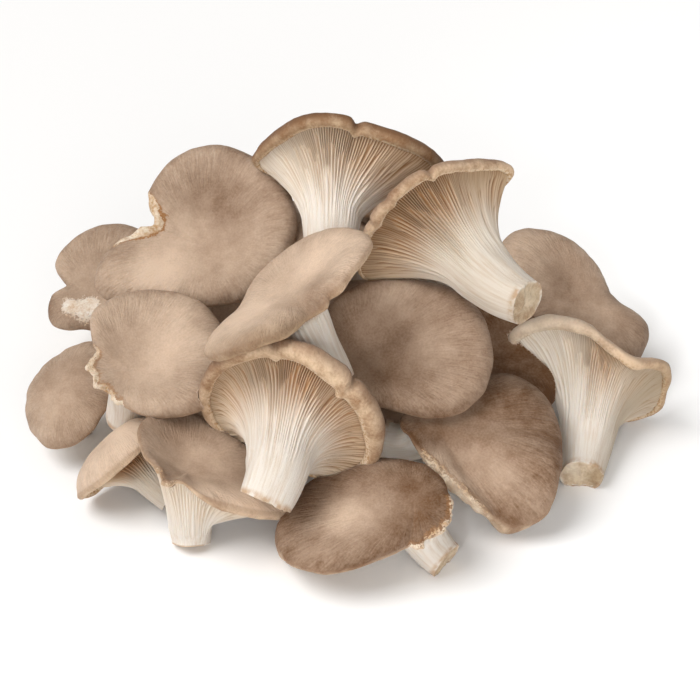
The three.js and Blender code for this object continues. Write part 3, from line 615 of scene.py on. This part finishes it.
def skin_relief(m, rings, marks):
    """How far each point stands out from the smooth form, in millimetres."""
    run, torn = marks[..., 0], marks[..., 2]
    top = ease((1.0 - run) / 0.05 + 0.5)
    outer = top * ease((run - 0.3) / 0.6)
    lip = ease((run - 0.85) / 0.3) * ease((2.05 - run) / 0.1)
    bead = ease((run - 1.6) / 0.2) * ease((2.1 - run) / 0.2)
    stem = ease((run - 3.9) / 0.3)
    cut = ease((run - 5.0) / 0.1)
    seed = m["seed"] * 10
    turn = 2 * math.pi * np.arange(rings.shape[1]) / rings.shape[1]
    relief = top * (0.3 * lumps(rings, seed, 24) + 0.09 * lumps(rings, seed + 1, 8))
    relief += outer * (0.06 * lumps(rings, seed + 8, 4) + ripple(m["seed"], turn, 9, 26, 0.05))
    relief += lip * (0.2 * lumps(rings, seed + 2, 10) + 0.045 * lumps(rings, seed + 3, 3.4))
    relief += bead * 0.07 * np.maximum(lumps(rings, seed + 9, 2.4), 0)
    relief += stem * (0.22 * lumps(rings * (1, 1, 0.3), seed + 4, 6))
    relief += cut * (0.3 * lumps(rings, seed + 5, 4) + 0.14 * lumps(rings, seed + 10, 1.8))
    ragged = torn * ease((run - 0.8) / 0.12) * ease((2.05 - run) / 0.1)
    relief += ragged * (0.45 * lumps(rings, seed + 6, 5.5) + 0.14 * lumps(rings, seed + 7, 2))
    return relief


TEMPLATES = {}


def turned_template(ring_count, columns):
    """A closed turned shape: ring k lies at height -k and radius 1, and both ends meet the axis.
    With it come the ring and the column of each of its points."""
    if (ring_count, columns) in TEMPLATES:
        return TEMPLATES[ring_count, columns]
    bm = bmesh.new()
    profile = [bm.verts.new((1 if 0 < k <= ring_count else 0, 0, -k))
               for k in range(ring_count + 2)]
    line = [bm.edges.new(pair) for pair in zip(profile, profile[1:])]
    bmesh.ops.spin(bm, geom=profile + line, cent=(0, 0, 0), axis=(0, 0, 1), angle=2 * math.pi,
                   steps=columns, use_merge=True)
    bmesh.ops.remove_doubles(bm, verts=bm.verts, dist=1e-4)
    bmesh.ops.recalc_face_normals(bm, faces=bm.faces)
    mesh = bpy.data.meshes.new("turned template")
    bm.to_mesh(mesh)
    bm.free()
    co = np.empty(len(mesh.vertices) * 3)
    mesh.vertices.foreach_get("co", co)
    co = co.reshape(-1, 3)
    ring = np.rint(-co[:, 2]).astype(int)
    column = np.rint(np.arctan2(co[:, 1], co[:, 0]) / (2 * math.pi) * columns).astype(int) % columns
    TEMPLATES[ring_count, columns] = mesh, ring, column
    return TEMPLATES[ring_count, columns]


def mushroom_mesh(name, m, columns, rows, fine, swollen=0.0):
    """One mushroom as a mesh in place in the heap, in metres."""
    rings, marks, angle = skin_points(m, columns, rows, fine)
    crown = np.array([0, 0, m["dip"]], float)
    sole = np.array([0, 0, -m["stem"] + CUT_DISH], float)
    facing = outwards(rings, crown, sole)
    own = rings + facing * (skin_relief(m, rings, marks) + swollen)[..., None]
    crown = crown + (0, 0, swollen)
    sole = sole - (0, 0, swollen)
    laid = bent(m, own)
    sole = bent(m, sole[None])[0]

    template, ring, column = turned_template(len(rings), columns)
    mesh = template.copy()
    mesh.name = name
    at_crown, at_sole = ring == 0, ring == len(rings) + 1
    ring = np.clip(ring - 1, 0, len(rings) - 1)
    place, upright = laid[ring, column], own[ring, column]
    for points in (place, upright):
        points[at_crown], points[at_sole] = crown, sole
    world = place @ placing(m) + np.array(m["at"], float)
    mesh.vertices.foreach_set("co", (world * MM).ravel())

    note = marks[ring, column]
    note[at_crown, 0], note[at_sole, 0] = 0, RUN_END
    skin_notes(mesh, name, m["seed"], upright, angle[column], note)
    mesh.update()
    return mesh


def skin_notes(mesh, name, seed, upright, angle, note):
    """Leaves on each point what the materials read there."""
    run, crest, torn = note.T
    put(mesh, "own_place", upright * PLACE_SCALE + seed * PLACE_STEP)
    put(mesh, "fan", np.stack([np.cos(angle), np.sin(angle), run], axis=1))

    tone = np.full(len(run), TONE.get(name, PLAIN_TONE))
    # Spots darken or lighten the tone: mostly the caps' own, some painted light and shade.
    for x, y, wide, darker in TONE_SPOTS_AND_PAINTED_LIGHT.get(name, ()):
        tone += darker * np.exp(-((upright[:, 0] - x) ** 2 + (upright[:, 1] - y) ** 2) / wide ** 2)
    shows = torn * FLESH_SHOWS.get(name, 1.0)
    put(mesh, "skin_note", np.stack([crest, shows, tone], axis=1))

    bare = np.zeros(len(run))
    for x, y, wide in BARE.get(name, ()):
        away = np.hypot(upright[:, 0] - x, upright[:, 1] - y)
        bare = np.maximum(bare, np.clip(1.5 - away / wide, 0, 1))
    # Gills browner or lighter: partly their own colour, partly painted shade and painted light.
    browner = np.zeros(len(run))
    for where, half, much in BROWNER_AND_PAINTED_LIGHT.get(name, ()):
        browner += much * np.exp(-((apart(angle, where) / half) ** 2))
    # Painted shade over stretches of the skin, and painted light where it is less than nothing.
    dull = np.zeros(len(run))
    for first, last, where, half, much in PAINTED_LIGHT_AND_SHADE.get(name, ()):
        along = np.clip((run - first) * 3, 0, 1) * np.clip((last - run) * 3, 0, 1)
        dull += much * along * np.exp(-((apart(angle, where) / half) ** 2))
    # The note holds bare patches, painted light and shade, and the gills' tint with its painted
    # light and shade.
    put(mesh, "bare_tint_and_painted_light", np.stack([bare * (run < 1.5), dull, browner], axis=1))


def put(mesh, name, values):
    """Writes one vector a point under a name that the materials read."""
    attribute = mesh.attributes.new(name, "FLOAT_VECTOR", "POINT")
    attribute.data.foreach_set("vector", np.ascontiguousarray(values, np.float32).ravel())


def linked(name, data):
    """A new object in the scene, from a mesh, a light or a camera."""
    thing = bpy.data.objects.new(name, data)
    bpy.context.scene.collection.objects.link(thing)
    return thing


def biggest_piece(mesh):
    """Keeps the largest of the bodies a cut has left, and takes the others away."""
    count = len(mesh.vertices)
    ends = np.empty(len(mesh.edges) * 2, np.int64)
    mesh.edges.foreach_get("vertices", ends)
    one, other = ends.reshape(-1, 2).T
    label = np.arange(count)
    while True:
        low = np.minimum(label[one], label[other])
        fresh = label.copy()
        np.minimum.at(fresh, one, low)
        np.minimum.at(fresh, other, low)
        fresh = fresh[fresh]
        if np.array_equal(fresh, label):
            break
        label = fresh
    kinds, sizes = np.unique(label, return_counts=True)
    if len(kinds) == 1:
        return
    main = kinds[np.argmax(sizes)]
    bm = bmesh.new()
    bm.from_mesh(mesh)
    bm.verts.ensure_lookup_table()
    loose = [bm.verts[i] for i in np.flatnonzero(label != main)]
    bmesh.ops.delete(bm, geom=loose, context="VERTS")
    bm.to_mesh(mesh)
    bm.free()


def box_of(mesh):
    """The least and the greatest corner of a mesh."""
    co = np.empty(len(mesh.vertices) * 3)
    mesh.vertices.foreach_get("co", co)
    co = co.reshape(-1, 3)
    return co.min(0), co.max(0)


def pressed(whole, cutters):
    """Cuts a whole mushroom where the surface and the mushrooms laid before it press on it."""
    low, high = box_of(whole.data)
    for cutter in cutters:
        other_low, other_high = box_of(cutter.data)
        if np.all(low < other_high) and np.all(other_low < high):
            cut = whole.modifiers.new(cutter.name, "BOOLEAN")
            cut.operation = "DIFFERENCE"
            cut.solver = "MANIFOLD"
            cut.object = cutter
    bpy.context.view_layer.update()
    shown = whole.evaluated_get(bpy.context.evaluated_depsgraph_get())
    mesh = bpy.data.meshes.new_from_object(shown)
    whole.modifiers.clear()
    whole.data = mesh
    biggest_piece(mesh)
    mesh.shade_smooth()
    mesh.set_sharp_from_angle(angle=math.radians(SHARP_EDGE))


# ---- Finishes -------------------------------------------------------------------------
# Colours as they look on screen, from 0 to 255.
SHADES = {
    "pale capped skin": (218, 192, 168), "dark capped skin": (101, 67, 37),
    "pale gilled skin": (213, 186, 162), "dark gilled skin": (110, 79, 54),
    "pale lip": (226, 198, 168), "dark lip": (138, 100, 68),
    "pale roll": (224, 196, 162), "dark roll": (156, 114, 76), "lip outline": (122, 84, 54),
    "pale bead": (236, 216, 188), "dark bead": (196, 156, 112), "painted crease shade": (104, 68, 40),
    "valley": (208, 187, 162), "valley by the lip": (138, 100, 66),
    "edge": (228, 217, 204), "edge by the lip": (220, 198, 170),
    "amber valley": (154, 104, 56), "amber edge": (194, 150, 106),
    "pale valley": (210, 190, 166), "pale edge": (240, 230, 217),
    "rusty valley": (124, 76, 34), "rusty edge": (154, 106, 60), "gill streak": (192, 152, 106),
    "stem": (225, 216, 205), "stem streak": (186, 154, 116), "stem rib": (231, 224, 216),
    "rim of the cut": (182, 142, 98), "pale cut": (216, 196, 168), "dark cut": (156, 122, 88),
    "pale torn flesh": (236, 220, 198), "dark torn flesh": (182, 142, 98),
    "pale bare flesh": (243, 233, 220), "dark bare flesh": (204, 174, 142),
    "torn rim": (160, 112, 66),
}
PAINTED_SHADE_COLOUR = (0.62, 0.57, 0.49, 1)  # painted shade: what a shaded place is multiplied by
PAINTED_LIGHT_COLOUR = (0.34, 0.3, 0.24, 1)  # painted light: what a lit place is screened with

# Where each finish begins in the run of the skin, and where it is full.
STRETCHES = {
    "Shoulder": (0.7, 1.0), "Lip": (0.92, 1.2), "Roll": (1.15, 1.5), "Bead": (1.55, 1.68),
    # The Crease stretch carries painted shade where the lip meets the gills.
    "Crease": (1.9, 2.1), "Gills": (2.6, 2.95), "Stem": (3.3, 4.0),
    "Rim of the cut": (4.86, 4.97), "Cut": (5.03, 5.2),
}

VECTOR, VALUE = "NodeSocketVector", "NodeSocketFloat"


def tint(name):
    """One of the colours, as the shaders want it."""
    values = [channel / 255 for channel in SHADES[name]]
    return tuple(v / 12.92 if v <= 0.04045 else ((v + 0.055) / 1.055) ** 2.4 for v in values) + (1,)


class Bench:
    """Places and joins nodes in one tree."""

    def __init__(self, tree):
        self.tree = tree

    def add(self, kind, inputs=None, **settings):
        node = self.tree.nodes.new(kind)
        for key, value in settings.items():
            setattr(node, key, value)
        for key, value in (inputs or {}).items():
            self.feed(node.inputs[key], value)
        return node

    def feed(self, socket, value):
        if isinstance(value, bpy.types.NodeSocket):
            self.tree.links.new(value, socket)
        else:
            socket.default_value = value

    def group(self, source, **values):
        node = self.add("ShaderNodeGroup", node_tree=source)
        for key, value in values.items():
            self.feed(node.inputs[key], value)
        return node.outputs

    def math(self, operation, *values, clamp=False):
        node = self.add("ShaderNodeMath", operation=operation, use_clamp=clamp)
        for socket, value in zip(node.inputs, values):
            self.feed(socket, value)
        return node.outputs[0]

    def times(self, one, other, clamp=False):
        return self.math("MULTIPLY", one, other, clamp=clamp)

    def add_up(self, start, *terms):
        """A value with several shares of others added, each taken about its middle."""
        for value, share in terms:
            start = self.math("MULTIPLY_ADD", self.math("SUBTRACT", value, 0.5), share, start)
        return start

    def within(self, value):
        """A value kept between 0 and 1."""
        return self.math("MAXIMUM", value, 0.0, clamp=True)

    def span(self, value, low, high):
        """Eases from 0 to 1 as a value goes from one place to another."""
        node = self.add("ShaderNodeMapRange", interpolation_type="SMOOTHSTEP")
        for socket, given in zip(node.inputs, (value, low, high, 0.0, 1.0)):
            self.feed(socket, given)
        return node.outputs[0]

    def blend(self, share, first, second, how="MIX"):
        node = self.add("ShaderNodeMix", data_type="RGBA", blend_type=how)
        for key, value in (("Factor", share), ("A", first), ("B", second)):
            self.feed(node.inputs[key], value)
        return node.outputs["Result"]

    def between(self, share, pale, dark):
        """A mix of two named colours."""
        return self.blend(share, tint(pale), tint(dark))

    def wash(self, colour, name, share):
        """A share of a named colour laid over another."""
        return self.blend(share, colour, tint(name))

    def noise(self, place, scale, detail, rough):
        node = self.add("ShaderNodeTexNoise", {
            "Vector": place, "Scale": scale, "Detail": detail, "Roughness": rough,
        }, noise_dimensions="3D")
        return node.outputs[0]

    def note(self, name):
        """A vector that the skin carries at each point, and its three parts."""
        read = self.add("ShaderNodeAttribute", attribute_type="GEOMETRY", attribute_name=name)
        parts = self.add("ShaderNodeSeparateXYZ", {"Vector": read.outputs["Vector"]})
        return read.outputs["Vector"], list(parts.outputs)


def effect(name, inputs, outputs):
    """A new node group: its bench, its inputs by name and the sockets that it puts out."""
    tree = bpy.data.node_groups.new(name, "ShaderNodeTree")
    for label, kind, start in inputs:
        socket = tree.interface.new_socket(label, in_out="INPUT", socket_type=kind)
        if start is not None:
            socket.default_value = start
    for label in outputs:
        tree.interface.new_socket(label, in_out="OUTPUT", socket_type=VALUE)
    bench = Bench(tree)
    given = bench.add("NodeGroupInput").outputs
    shown = bench.add("NodeGroupOutput").inputs
    return tree, bench, given, shown


def fibre_effect():
    """Fine streaks that run from the crown to the margin, and on down the stem."""
    tree, b, given, shown = effect(
        "mushroom fibres",
        [("Fan", VECTOR, None), ("Spokes", VALUE, 20.0), ("Along", VALUE, 2.0),
         ("Seed", VALUE, 0.0)],
        ["Streaks", "Fine streaks"])
    parts = b.add("ShaderNodeSeparateXYZ", {"Vector": given["Fan"]}).outputs
    for label, finer in (("Streaks", 1.0), ("Fine streaks", 2.2)):
        spokes = b.times(given["Spokes"], finer)
        along = b.times(given["Along"], finer)
        line = b.add("ShaderNodeCombineXYZ", {
            "X": b.times(parts[0], spokes),
            "Y": b.times(parts[1], spokes),
            "Z": b.math("MULTIPLY_ADD", parts[2], along, given["Seed"]),
        }).outputs[0]
        b.feed(shown[label], b.span(b.noise(line, 1.0, 3.0, 0.6), 0.28, 0.72))
    return tree


def mottle_effect():
    """Soft patches of lighter and darker skin, and specks a sixth of their size."""
    tree, b, given, shown = effect(
        "mushroom mottling", [("Place", VECTOR, None), ("Scale", VALUE, 0.6)],
        ["Patches", "Specks"])
    b.feed(shown["Patches"], b.span(b.noise(given["Place"], given["Scale"], 4.0, 0.55), 0.3, 0.7))
    finer = b.times(given["Scale"], 6.0)
    b.feed(shown["Specks"], b.span(b.noise(given["Place"], finer, 3.0, 0.6), 0.32, 0.7))
    return tree


def stretch_effect():
    """How far each finish has come in at a point, from its place in the run."""
    tree, b, given, shown = effect("mushroom stretches", [("Run", VALUE, 0.0)], STRETCHES)
    for label, (begins, full) in STRETCHES.items():
        b.feed(shown[label], b.span(given["Run"], begins, full))
    return tree


class Skin(Bench):
    """A mushroom's skin in the making: what each point carries, and the patterns over it."""

    def __init__(self, tree, fibres, mottling, stretches):
        super().__init__(tree)
        place, _ = self.note("own_place")
        fan, (_, _, self.run) = self.note("fan")
        _, (self.crest, self.torn, self.tone) = self.note("skin_note")
        _, (self.bare, self.dull, self.browner) = self.note("bare_tint_and_painted_light")
        self.zone = self.group(stretches, Run=self.run)
        self.wide = self.group(mottling, Place=place, Scale=0.4)
        self.close = self.group(mottling, Place=place, Scale=1.8)
        self.grain = self.group(mottling, Place=place, Scale=13.0)
        self.hair = self.group(fibres, Fan=fan, Spokes=24.0, Along=5.0, Seed=3.0)
        self.gill_hair = self.group(fibres, Fan=fan, Spokes=9.0, Along=1.5, Seed=11.0)
        outer = self.span(self.run, 0.25, 0.75)
        self.fibre, self.fine_fibre = (
            self.times(self.math("SUBTRACT", self.hair[streaks], 0.5), outer)
            for streaks in ("Streaks", "Fine streaks"))
        self.height = self.span(self.crest, 0.05, 0.8)


def cap_colour(s, kind):
    """Soft wide patches, a fine grain and short fibres that begin outside the crown."""
    share = s.add_up(s.tone, (s.wide["Patches"], 0.31), (s.close["Patches"], 0.1),
                     (s.grain["Patches"], 0.1))
    share = s.math("MULTIPLY_ADD", s.fibre, 0.1, share)
    share = s.math("MULTIPLY_ADD", s.fine_fibre, 0.11, share)
    share = s.math("MULTIPLY_ADD", s.zone["Shoulder"], 0.1, share, clamp=True)
    return s.between(share, "pale " + kind + " skin", "dark " + kind + " skin")


def lip_colour(s, colour):
    """Warm tan on the shoulder, softly mottled where it rolls under, a faint pale line along
    its inner edge, and dark painted shade where it meets the gills."""
    share = s.add_up(s.math("MULTIPLY_ADD", s.tone, 0.55, 0.2), (s.wide["Patches"], 0.4),
                     (s.close["Patches"], 0.5), (s.close["Specks"], 0.2),
                     (s.hair["Streaks"], 0.16))
    lip = s.between(s.within(share), "pale lip", "dark lip")
    colour = s.blend(s.times(s.zone["Lip"], 0.7), colour, lip)
    share = s.add_up(0.45, (s.wide["Patches"], 0.3), (s.close["Patches"], 0.7),
                     (s.close["Specks"], 0.35))
    roll = s.between(s.within(share), "pale roll", "dark roll")
    colour = s.blend(s.times(s.zone["Roll"], 0.6), colour, roll)
    outline = s.times(s.span(s.run, 0.94, 1.06), s.span(s.run, 1.34, 1.14))
    colour = s.wash(colour, "lip outline", s.times(outline, 0.3))
    bead = s.between(s.span(s.close["Specks"], 0.35, 0.8), "pale bead", "dark bead")
    colour = s.blend(s.times(s.zone["Bead"], 0.62), colour, bead)
    # Painted shade where the lip meets the gills.
    return s.wash(colour, "painted crease shade", s.zone["Crease"])


def gill_colour(s, colour):
    """Cream edges over tan valleys that pale towards the stem, amber or rust-brown in places. The
    valleys and the rust-brown are partly painted shade, and the lighter wash is painted light.
    """
    by_lip = s.span(s.run, 3.85, 2.95)
    upper = s.span(s.run, 4.0, 3.35)
    amber = s.times(s.math("MULTIPLY_ADD", s.wide["Patches"], 0.3, s.browner), upper, clamp=True)
    painted_lighter = s.times(s.times(s.browner, -1.0), upper, clamp=True)
    rusty = s.times(s.math("SUBTRACT", s.browner, 1.2), upper, clamp=True)
    valley = s.between(by_lip, "valley", "valley by the lip")
    edge = s.between(by_lip, "edge", "edge by the lip")
    # The amber wash is partly the gills' own colour and partly painted shade, the light wash
    # painted light, and the deepest brown wash partly painted shade.
    for kind, share, in_valleys, on_edges in (
            ("amber", amber, 0.75, 0.4), ("pale", painted_lighter, 0.75, 0.8), ("rusty", rusty, 1.0, 0.85)):
        valley = s.wash(valley, kind + " valley", s.times(share, in_valleys))
        edge = s.wash(edge, kind + " edge", s.times(share, on_edges))
    # The valleys darker than the edges: partly the gills' own tan, partly painted shade in the
    # hollows.
    gills = s.blend(s.height, valley, edge)
    gills = s.wash(gills, "gill streak", s.times(s.gill_hair["Streaks"], 0.22))
    return s.blend(s.zone["Gills"], colour, gills)


def stem_colour(s, colour):
    """White with faint tan streaks, browner round the rim of its cut."""
    share = s.times(s.math("POWER", s.gill_hair["Streaks"], 2.0), 0.42)
    stem = s.wash(s.between(share, "stem", "stem streak"), "stem rib", s.times(s.height, 0.25))
    colour = s.blend(s.zone["Stem"], colour, stem)
    brown = s.times(s.zone["Rim of the cut"], s.span(s.close["Patches"], 0.1, 0.8))
    colour = s.wash(colour, "rim of the cut", s.times(brown, 0.75))
    by_rim = s.span(s.run, 5.9, 5.3)
    share = s.add_up(s.math("MULTIPLY_ADD", by_rim, 0.3, 0.12), (s.close["Patches"], 0.8),
                     (s.close["Specks"], 0.25))
    return s.blend(s.zone["Cut"], colour, s.between(share, "pale cut", "dark cut"))


def flesh_colour(s, colour):
    """Torn flesh shows cream on the lip, with tan edges, and so does a bare patch."""
    ragged = s.add_up(s.torn, (s.close["Specks"], 0.9))
    inward = s.add_up(s.run, (s.close["Patches"], 0.14), (s.close["Specks"], 0.1))
    inward = s.math("MULTIPLY_ADD", s.math("SUBTRACT", s.torn, 1.0), 0.13, inward)
    lip_only = s.times(s.span(inward, 0.86, 0.92), s.span(s.run, 2.9, 2.4))
    torn_share = s.times(s.span(ragged, 0.45, 0.75), lip_only)
    bare_share = s.add_up(s.bare, (s.close["Specks"], 0.45), (s.close["Patches"], 0.45))
    bare_share = s.times(s.span(bare_share, 0.35, 0.7), s.span(s.bare, 0.02, 0.2))
    share = s.within(s.add_up(0.4, (s.close["Patches"], 0.75), (s.close["Specks"], 0.55)))
    rim = s.times(s.span(inward, 0.76, 0.83), s.times(s.torn, s.span(s.run, 1.1, 1.0)))
    colour = s.wash(colour, "torn rim", s.times(rim, 0.5))
    colour = s.blend(torn_share, colour, s.between(share, "pale torn flesh", "dark torn flesh"))
    return s.blend(bare_share, colour, s.between(share, "pale bare flesh", "dark bare flesh"))


def skin_height(s):
    """The fine relief of the skin: fibres on the cap, a grain all over, streaks on the gills."""
    cap_only = s.span(s.run, 2.0, 1.0)
    height = s.times(s.math("ADD", s.fine_fibre, s.fibre), s.times(cap_only, 1.2))
    on_gills = s.times(s.zone["Gills"], 0.5)
    for value, share in ((s.close["Specks"], 0.3), (s.grain["Specks"], 0.35),
                         (s.gill_hair["Fine streaks"], on_gills)):
        height = s.math("MULTIPLY_ADD", value, share, height)
    return height


def mushroom_skin(kind, effects):
    """Velvety cap, mottled lip, cream gills over tan valleys, white stem and cut flesh."""
    material = bpy.data.materials.new(kind + " mushroom skin")
    material.use_nodes = True
    material.node_tree.nodes.clear()
    s = Skin(material.node_tree, *effects)
    colour = cap_colour(s, kind)
    for finish in (lip_colour, gill_colour, stem_colour, flesh_colour):
        colour = finish(s, colour)
    # Painted shade multiplied in, and painted light screened in.
    colour = s.blend(s.times(s.dull, 1.0, clamp=True), colour, PAINTED_SHADE_COLOUR, "MULTIPLY")
    colour = s.blend(s.times(s.dull, -1.0, clamp=True), colour, PAINTED_LIGHT_COLOUR, "SCREEN")
    bump = s.add("ShaderNodeBump", {
        "Strength": 0.6, "Distance": 0.0003, "Height": skin_height(s)})
    shader = s.add("ShaderNodeBsdfPrincipled", {
        "Base Color": colour, "Normal": bump.outputs[0],
        "Roughness": s.math("MULTIPLY_ADD", s.close["Patches"], 0.12, 0.56),
        "Subsurface Weight": 0.15, "Subsurface Radius": (1.0, 0.62, 0.36),
        "Subsurface Scale": 0.0015, "Specular IOR Level": 0.25,
        "Sheen Weight": 0.05, "Sheen Roughness": 0.5,
    })
    s.add("ShaderNodeOutputMaterial", {"Surface": shader.outputs[0]})
    return material


def table_top():
    """A plain pale surface that takes a soft shadow."""
    material = bpy.data.materials.new("pale table")
    material.use_nodes = True
    shader = material.node_tree.nodes["Principled BSDF"]
    shader.inputs["Base Color"].default_value = (0.95, 0.95, 0.95, 1)
    shader.inputs["Roughness"].default_value = 0.9
    shader.inputs["Specular IOR Level"].default_value = 0.1
    return material


# ---- The heap -------------------------------------------------------------------------
# In metres from here on.
GROUND = (0.6, 0.6, 0.1)  # the block under the surface that cuts the mushrooms flat
FLOOR_REACH = 6.0  # from the middle of the table to its sides


def from_shape(name, shape):
    """A new object from a shape that is ready."""
    thing = linked(name, bpy.data.meshes.new(name))
    shape.to_mesh(thing.data)
    shape.free()
    return thing


effects = (fibre_effect(), mottle_effect(), stretch_effect())
SKINS = {kind + "_mushroom": mushroom_skin(kind, effects) for kind in ("capped", "gilled")}

block = bmesh.new()
bmesh.ops.create_cube(block, size=1.0)
bmesh.ops.scale(block, vec=GROUND, verts=block.verts)
bmesh.ops.translate(block, vec=(0, 0, -GROUND[2] / 2), verts=block.verts)
cutters = [from_shape("ground", block)]

for order, (name, spec) in enumerate(SPECS.items()):
    fineness = FINENESS.get(name, CAP_SIDE)
    m = dict(COMMON, **spec, seed=order + 1, ridges=fineness["ridges"],
             fine_lip=FINE_LIP.get(name, 1.0))
    if name in THINS:
        m["thins"] = THINS[name]
    if name in LET_OUT:
        where, how_far, half = LET_OUT[name]
        m["splits"] = list(m.get("splits", ())) + [(where, -how_far, half)]
    columns = fineness["ridges"] * fineness["per_ridge"]
    whole = linked(name + "_skin", mushroom_mesh(name, m, columns, fineness["rows"], True))
    pressed(whole, cutters)
    slot = "gilled_mushroom" if spec.get("skin") == "gills" else "capped_mushroom"
    whole.data.materials.clear()
    whole.data.materials.append(SKINS[slot])
    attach(whole, "root")
    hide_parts(name)
    press = mushroom_mesh(name + "_press", m, PRESS_COLUMNS, PRESS_ROWS, False, GAP)
    cutters.append(linked(name + "_press", press))
for cutter in cutters:
    bpy.data.objects.remove(cutter)

table = bmesh.new()
bmesh.ops.create_grid(table, x_segments=1, y_segments=1, size=FLOOR_REACH)
floor = from_shape("floor", table)
floor.data.materials.append(table_top())

# ---- The light and the camera ---------------------------------------------------------
SUN_WAY = Vector((0.66, 0.2, -1.0))
FILL_PLACE, FILL_AIM = Vector((0.15, -1.35, 0.55)), Vector((0, 0, 0.04))
GLOW_PLACE, GLOW_AIM = Vector((-0.15, -0.85, 0.5)), Vector((0.092, -0.02, 0.046))
ROOM_COLOUR, ROOM_LIGHT = (1, 0.965, 0.92, 1), 0.35
TARGET = Vector((0, -0.0085, 0.045))
ELEVATION = math.radians(35)
DISTANCE = 0.63


def set_up(name, data, place, way):
    """Puts a light or a camera in its place, turned to face along a way."""
    thing = linked(name, data)
    thing.location = place
    thing.rotation_euler = way.to_track_quat("-Z", "Y").to_euler()
    return thing


def lamp(name, kind, place, way, **settings):
    """A light of a kind, with its own settings."""
    data = bpy.data.lights.new(name, kind)
    for key, value in settings.items():
        setattr(data, key, value)
    set_up(name, data, place, way)


lamp("window light", "SUN", (0, 0, 0), SUN_WAY, energy=2.45, angle=math.radians(42))
lamp("front fill", "AREA", FILL_PLACE, FILL_AIM - FILL_PLACE, shape="DISK", size=1.2, energy=8)
lamp("side glow", "SPOT", GLOW_PLACE, GLOW_AIM - GLOW_PLACE, energy=32,
     spot_size=math.radians(10), spot_blend=1.0, shadow_soft_size=0.12)

world = bpy.data.worlds.new("pale room")
bpy.context.scene.world = world
world.use_nodes = True
room = world.node_tree.nodes["Background"].inputs
room["Color"].default_value = ROOM_COLOUR
room["Strength"].default_value = ROOM_LIGHT
bpy.context.scene.view_settings.view_transform = "Standard"

view = bpy.data.cameras.new("camera")
view.angle = math.radians(22)
view.clip_start = 0.01
away = Vector((0, -math.cos(ELEVATION), math.sin(ELEVATION)))
bpy.context.scene.camera = set_up("camera", view, TARGET + away * DISTANCE, -away)
